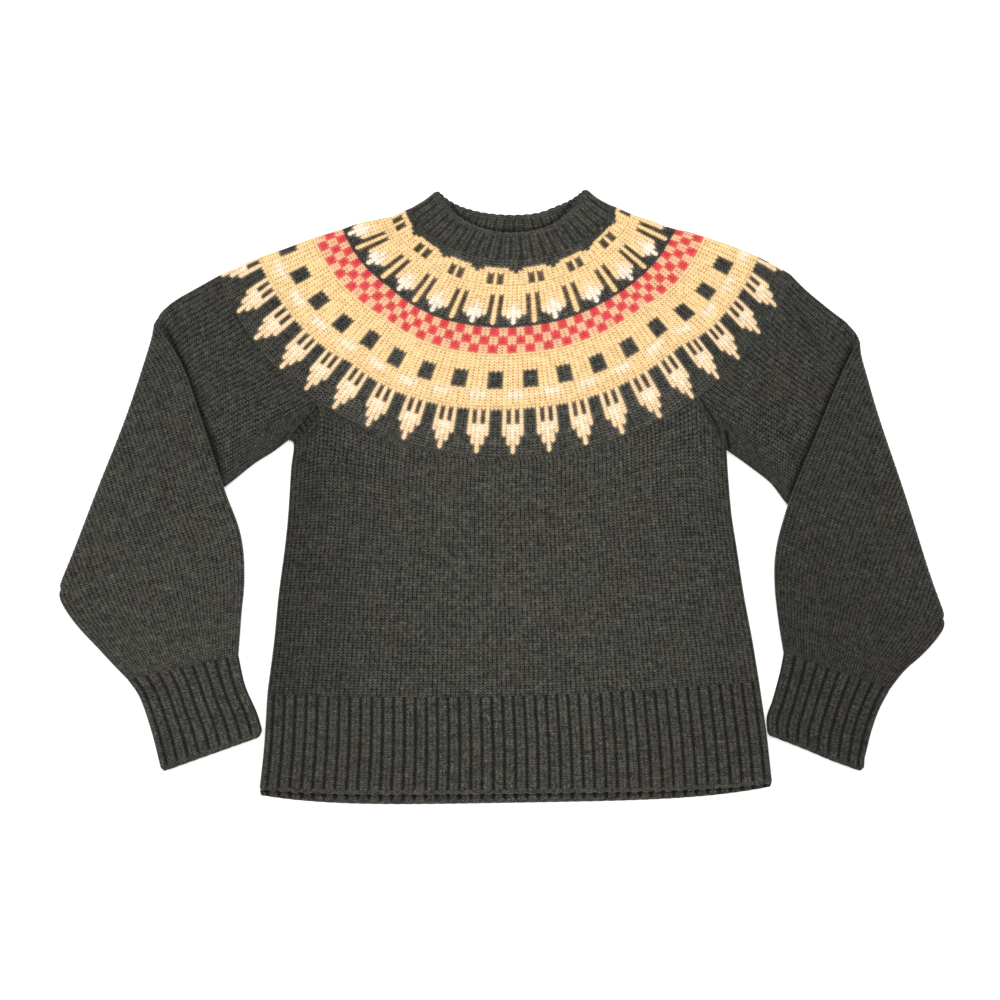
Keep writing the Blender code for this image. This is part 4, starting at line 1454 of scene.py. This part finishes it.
class JUMPER_OT_neckband(bpy.types.Operator):
    """Knit the neckband"""
    bl_idname = "jumper.neckband"
    bl_label = "Neckband"

    def execute(self, context):
        knit, base, chance = begin(context)
        stitches, courses = NECK_RIBS * RIB_STITCHES, whole(NECK_DEPTH / knit.course)
        shades = one_yarn(base, courses, stitches, chance, *NECK_TONES)
        # rib_gap, rib_shade and middle set the painted shade of the neckband's purl columns and ridge
        # middles
        material = wool("Neck rib", shade=0.6, flecks=0.9, rib_gap=0.095, rib_shade=0.8, middle=0.45)
        piece = knit_rib("neck_rib", material, place_neckband, stitches, courses, base, True, False,
                         rib=NECK_RIB_DEPTH * knit.rib_depth / MM, relief=RIB_RELIEF * knit.relief / MM,
                         colours=shades, open_edges=(True, False), scallop=0.3)
        finish_piece(piece, "neckband")
        return {"FINISHED"}


def band_ring(band):
    """Where a band's stitches lie round the yoke, how many there are and which chart column is first."""
    wide, lies, total = len(band["rows"][0]), np.array(band["lies"]), band["around"]
    lies = np.concatenate([[2 * lies[0] - lies[1]], lies, [2 * lies[-1] - lies[-2]]])
    middle = 1.0 if wide == 4 else 0.5
    repeats = np.arange(len(lies)) - 1
    left, right = np.interp(0.0, lies, repeats), np.interp(1.0, lies, repeats)
    shown = (lies > 0) & (lies < 1)
    stops = np.concatenate([[left], repeats[shown], [right, left + total]])
    turns = np.concatenate([[0.0], lies[shown] / 2, [0.5, 1.0]])
    first = math.ceil(left * wide + middle)
    leans = np.array(band.get("lean", ((0.0, 0.0), (1.0, 0.0))))
    sides = np.concatenate([[0.0], np.cumsum(band.get("widths", (1.0,) * wide))]) / wide

    def ring(stitch, portion):
        chart = (stitch + first) / wide
        whole_repeats = np.floor(chart)
        repeat = whole_repeats + np.interp(chart - whole_repeats, np.arange(wide + 1) / wide, sides)
        repeat -= middle / wide
        rounds = np.floor((repeat - left) / total)
        turn = np.interp(repeat - rounds * total, stops, turns)
        front = turn < 0.5
        lean = np.interp(np.where(front, 2 * turn, 2 - 2 * turn), leans[:, 0], leans[:, 1])
        return turn + rounds + np.where(front, 0.5, -0.5) * lean * portion

    return ring, total * wide, first


class JUMPER_OT_yoke(bpy.types.Operator):
    """Knit the patterned yoke in the round"""
    bl_idname = "jumper.yoke"
    bl_label = "Patterned Yoke"

    def execute(self, context):
        knit, yarns = context.scene.jumper_knit, context.scene.jumper_yarns
        palette = {"D": yarns.charcoal, "T": yarns.tan, "C": yarns.pale_tan, "W": yarns.cream,
                   "R": yarns.coral, "P": yarns.peach, "B": yarns.brown, "E": yarns.soft_cream}
        palette = {letter: tuple(colour) for letter, colour in palette.items()}
        chance = np.random.default_rng(SEED)
        cloth = Knitting()
        start, before, top = 0.0, None, None
        for band in BANDS:
            ring, stitches, first = band_ring(band)
            columns = [(first + stitch) % len(band["rows"][0]) for stitch in range(stitches)]
            charts = [[row[column] for column in columns] for row in band["rows"]]
            colours = spun(np.array([[palette[letter] for letter in row] for row in charts]), chance)
            turn = ring(np.arange(2 * stitches) / 2, np.ones(2 * stitches))
            # the yoke's charcoal is darker over the sleeves, as painted shade
            from_middle = np.abs(np.abs(1 - 2 * np.mod(turn, 1.0)) - 0.5)
            tone = mix(*YOKE_TONES, ease((from_middle - 0.23) / 0.08))[None, :, None]
            colours = np.where(colours.mean(axis=-1, keepdims=True) < 0.12, colours * tone, colours)
            span = (start / YOKE_DEPTH, band["to"] / YOKE_DEPTH)
            outer = knit_strip(cloth, place_yoke, stitches, len(band["rows"]),
                               YOKE_RELIEF * knit.relief / MM, colours, span, ring, closed=True,
                               lean=YOKE_LEAN, thin=band.get("thin", (1.0, 1.0)))
            if before:
                cloth.join(before, outer["first"], palette[band["rows"][0][0]], False, True)
            top = top or outer["first"]
            before = outer["last"]
            start = band["to"] + BAND_GAP
        inner = plain_skin(cloth, place_yoke, *YOKE_LINING, True, palette["D"], False)
        close_rims(cloth, {"first": top, "last": before}, inner, True, palette["D"], False)
        piece = cloth.make("patterned_yoke", wool("Yoke wool", YOKE_LEAN, dot_height=2.3))
        finish_piece(piece, "yoke")
        return {"FINISHED"}


class JUMPER_OT_stage(bpy.types.Operator):
    """Make the floor, the lights and the camera"""
    bl_idname = "jumper.stage"
    bl_label = "Floor, Lights and Camera"

    def execute(self, context):
        stage = context.scene.jumper_stage
        mesh = bpy.data.meshes.new("floor")
        corners = [(x * FLOOR_HALF, y * FLOOR_HALF, -FLOOR_DROP)
                   for x, y in ((-1, -1), (1, -1), (1, 1), (-1, 1))]
        mesh.from_pydata(corners, [], [(0, 1, 2, 3)])
        floor = bpy.data.objects.new("floor", mesh)
        context.scene.collection.objects.link(floor)
        material = bpy.data.materials.new("Pale floor")
        material.use_nodes = True
        shader = material.node_tree.nodes["Principled BSDF"]
        shader.inputs["Base Color"].default_value = (*stage.floor, 1.0)
        shader.inputs["Roughness"].default_value = 0.9
        shader.inputs["Specular IOR Level"].default_value = 0.0
        shader.inputs["Emission Color"].default_value = (1.0, 1.0, 1.0, 1.0)
        shader.inputs["Emission Strength"].default_value = stage.glow
        mesh.materials.append(material)

        world = bpy.data.worlds.new("Studio")
        world.use_nodes = True
        background = world.node_tree.nodes["Background"]
        background.inputs["Color"].default_value = (1.0, 1.0, 1.0, 1.0)
        background.inputs["Strength"].default_value = stage.sky
        context.scene.world = world

        for name, place, turn, size, share in (
            ("overhead", (0.2, 0.9, 2.1), (-23.0, 5.0, 0.0), 1.6, 1.0),
            ("side", (-1.6, -0.4, 1.4), (0.0, -49.0, 0.0), 1.2, 0.3),
        ):
            light = bpy.data.lights.new(name, "AREA")
            light.shape = "SQUARE"
            light.size = size
            light.energy = stage.lamp * share
            lamp = bpy.data.objects.new(name, light)
            lamp.location = place
            lamp.rotation_euler = [math.radians(angle) for angle in turn]
            context.scene.collection.objects.link(lamp)

        camera_data = bpy.data.cameras.new("camera")
        camera_data.lens = stage.lens
        camera_data.sensor_width = 36.0
        camera = bpy.data.objects.new("camera", camera_data)
        camera.location = (*CAMERA_AIM, stage.height + LAYERS * MM)
        context.scene.collection.objects.link(camera)
        context.scene.camera = camera
        context.scene.view_settings.view_transform = "Standard"
        context.scene.view_settings.look = "None"
        return {"FINISHED"}


class JUMPER_PT_panel(bpy.types.Panel):
    """Sizes, yarns and pieces of the jumper"""
    bl_idname = "JUMPER_PT_panel"
    bl_label = "Fair Isle Jumper"
    bl_space_type = "VIEW_3D"
    bl_region_type = "UI"
    bl_category = "Jumper"

    def draw(self, context):
        for group in ("jumper_knit", "jumper_yarns", "jumper_stage"):
            settings = getattr(context.scene, group)
            box = self.layout.box()
            for name in settings.bl_rna.properties.keys():
                if name not in ("rna_type", "name"):
                    box.prop(settings, name)
        for operator in OPERATORS:
            self.layout.operator(operator.bl_idname)


SETTINGS = (("jumper_knit", JumperKnit), ("jumper_yarns", JumperYarns), ("jumper_stage", JumperStage))
OPERATORS = (JUMPER_OT_yoke, JUMPER_OT_neckband, JUMPER_OT_body, JUMPER_OT_hem, JUMPER_OT_sleeves,
             JUMPER_OT_cuffs, JUMPER_OT_stage)


def register():
    """Adds the settings, the operators and the panel."""
    for name, group in SETTINGS:
        bpy.utils.register_class(group)
        setattr(bpy.types.Scene, name, bpy.props.PointerProperty(type=group))
    for operator in OPERATORS:
        bpy.utils.register_class(operator)
    bpy.utils.register_class(JUMPER_PT_panel)


def unregister():
    """Takes them away again."""
    bpy.utils.unregister_class(JUMPER_PT_panel)
    for operator in reversed(OPERATORS):
        bpy.utils.unregister_class(operator)
    for name, group in reversed(SETTINGS):
        delattr(bpy.types.Scene, name)
        bpy.utils.unregister_class(group)


def main():
    """Makes every piece and the stage."""
    register()
    bpy.ops.jumper.yoke()
    bpy.ops.jumper.neckband()
    bpy.ops.jumper.body()
    bpy.ops.jumper.hem()
    bpy.ops.jumper.sleeves()
    bpy.ops.jumper.cuffs()
    bpy.ops.jumper.stage()


if __name__ == "__main__":
    main()
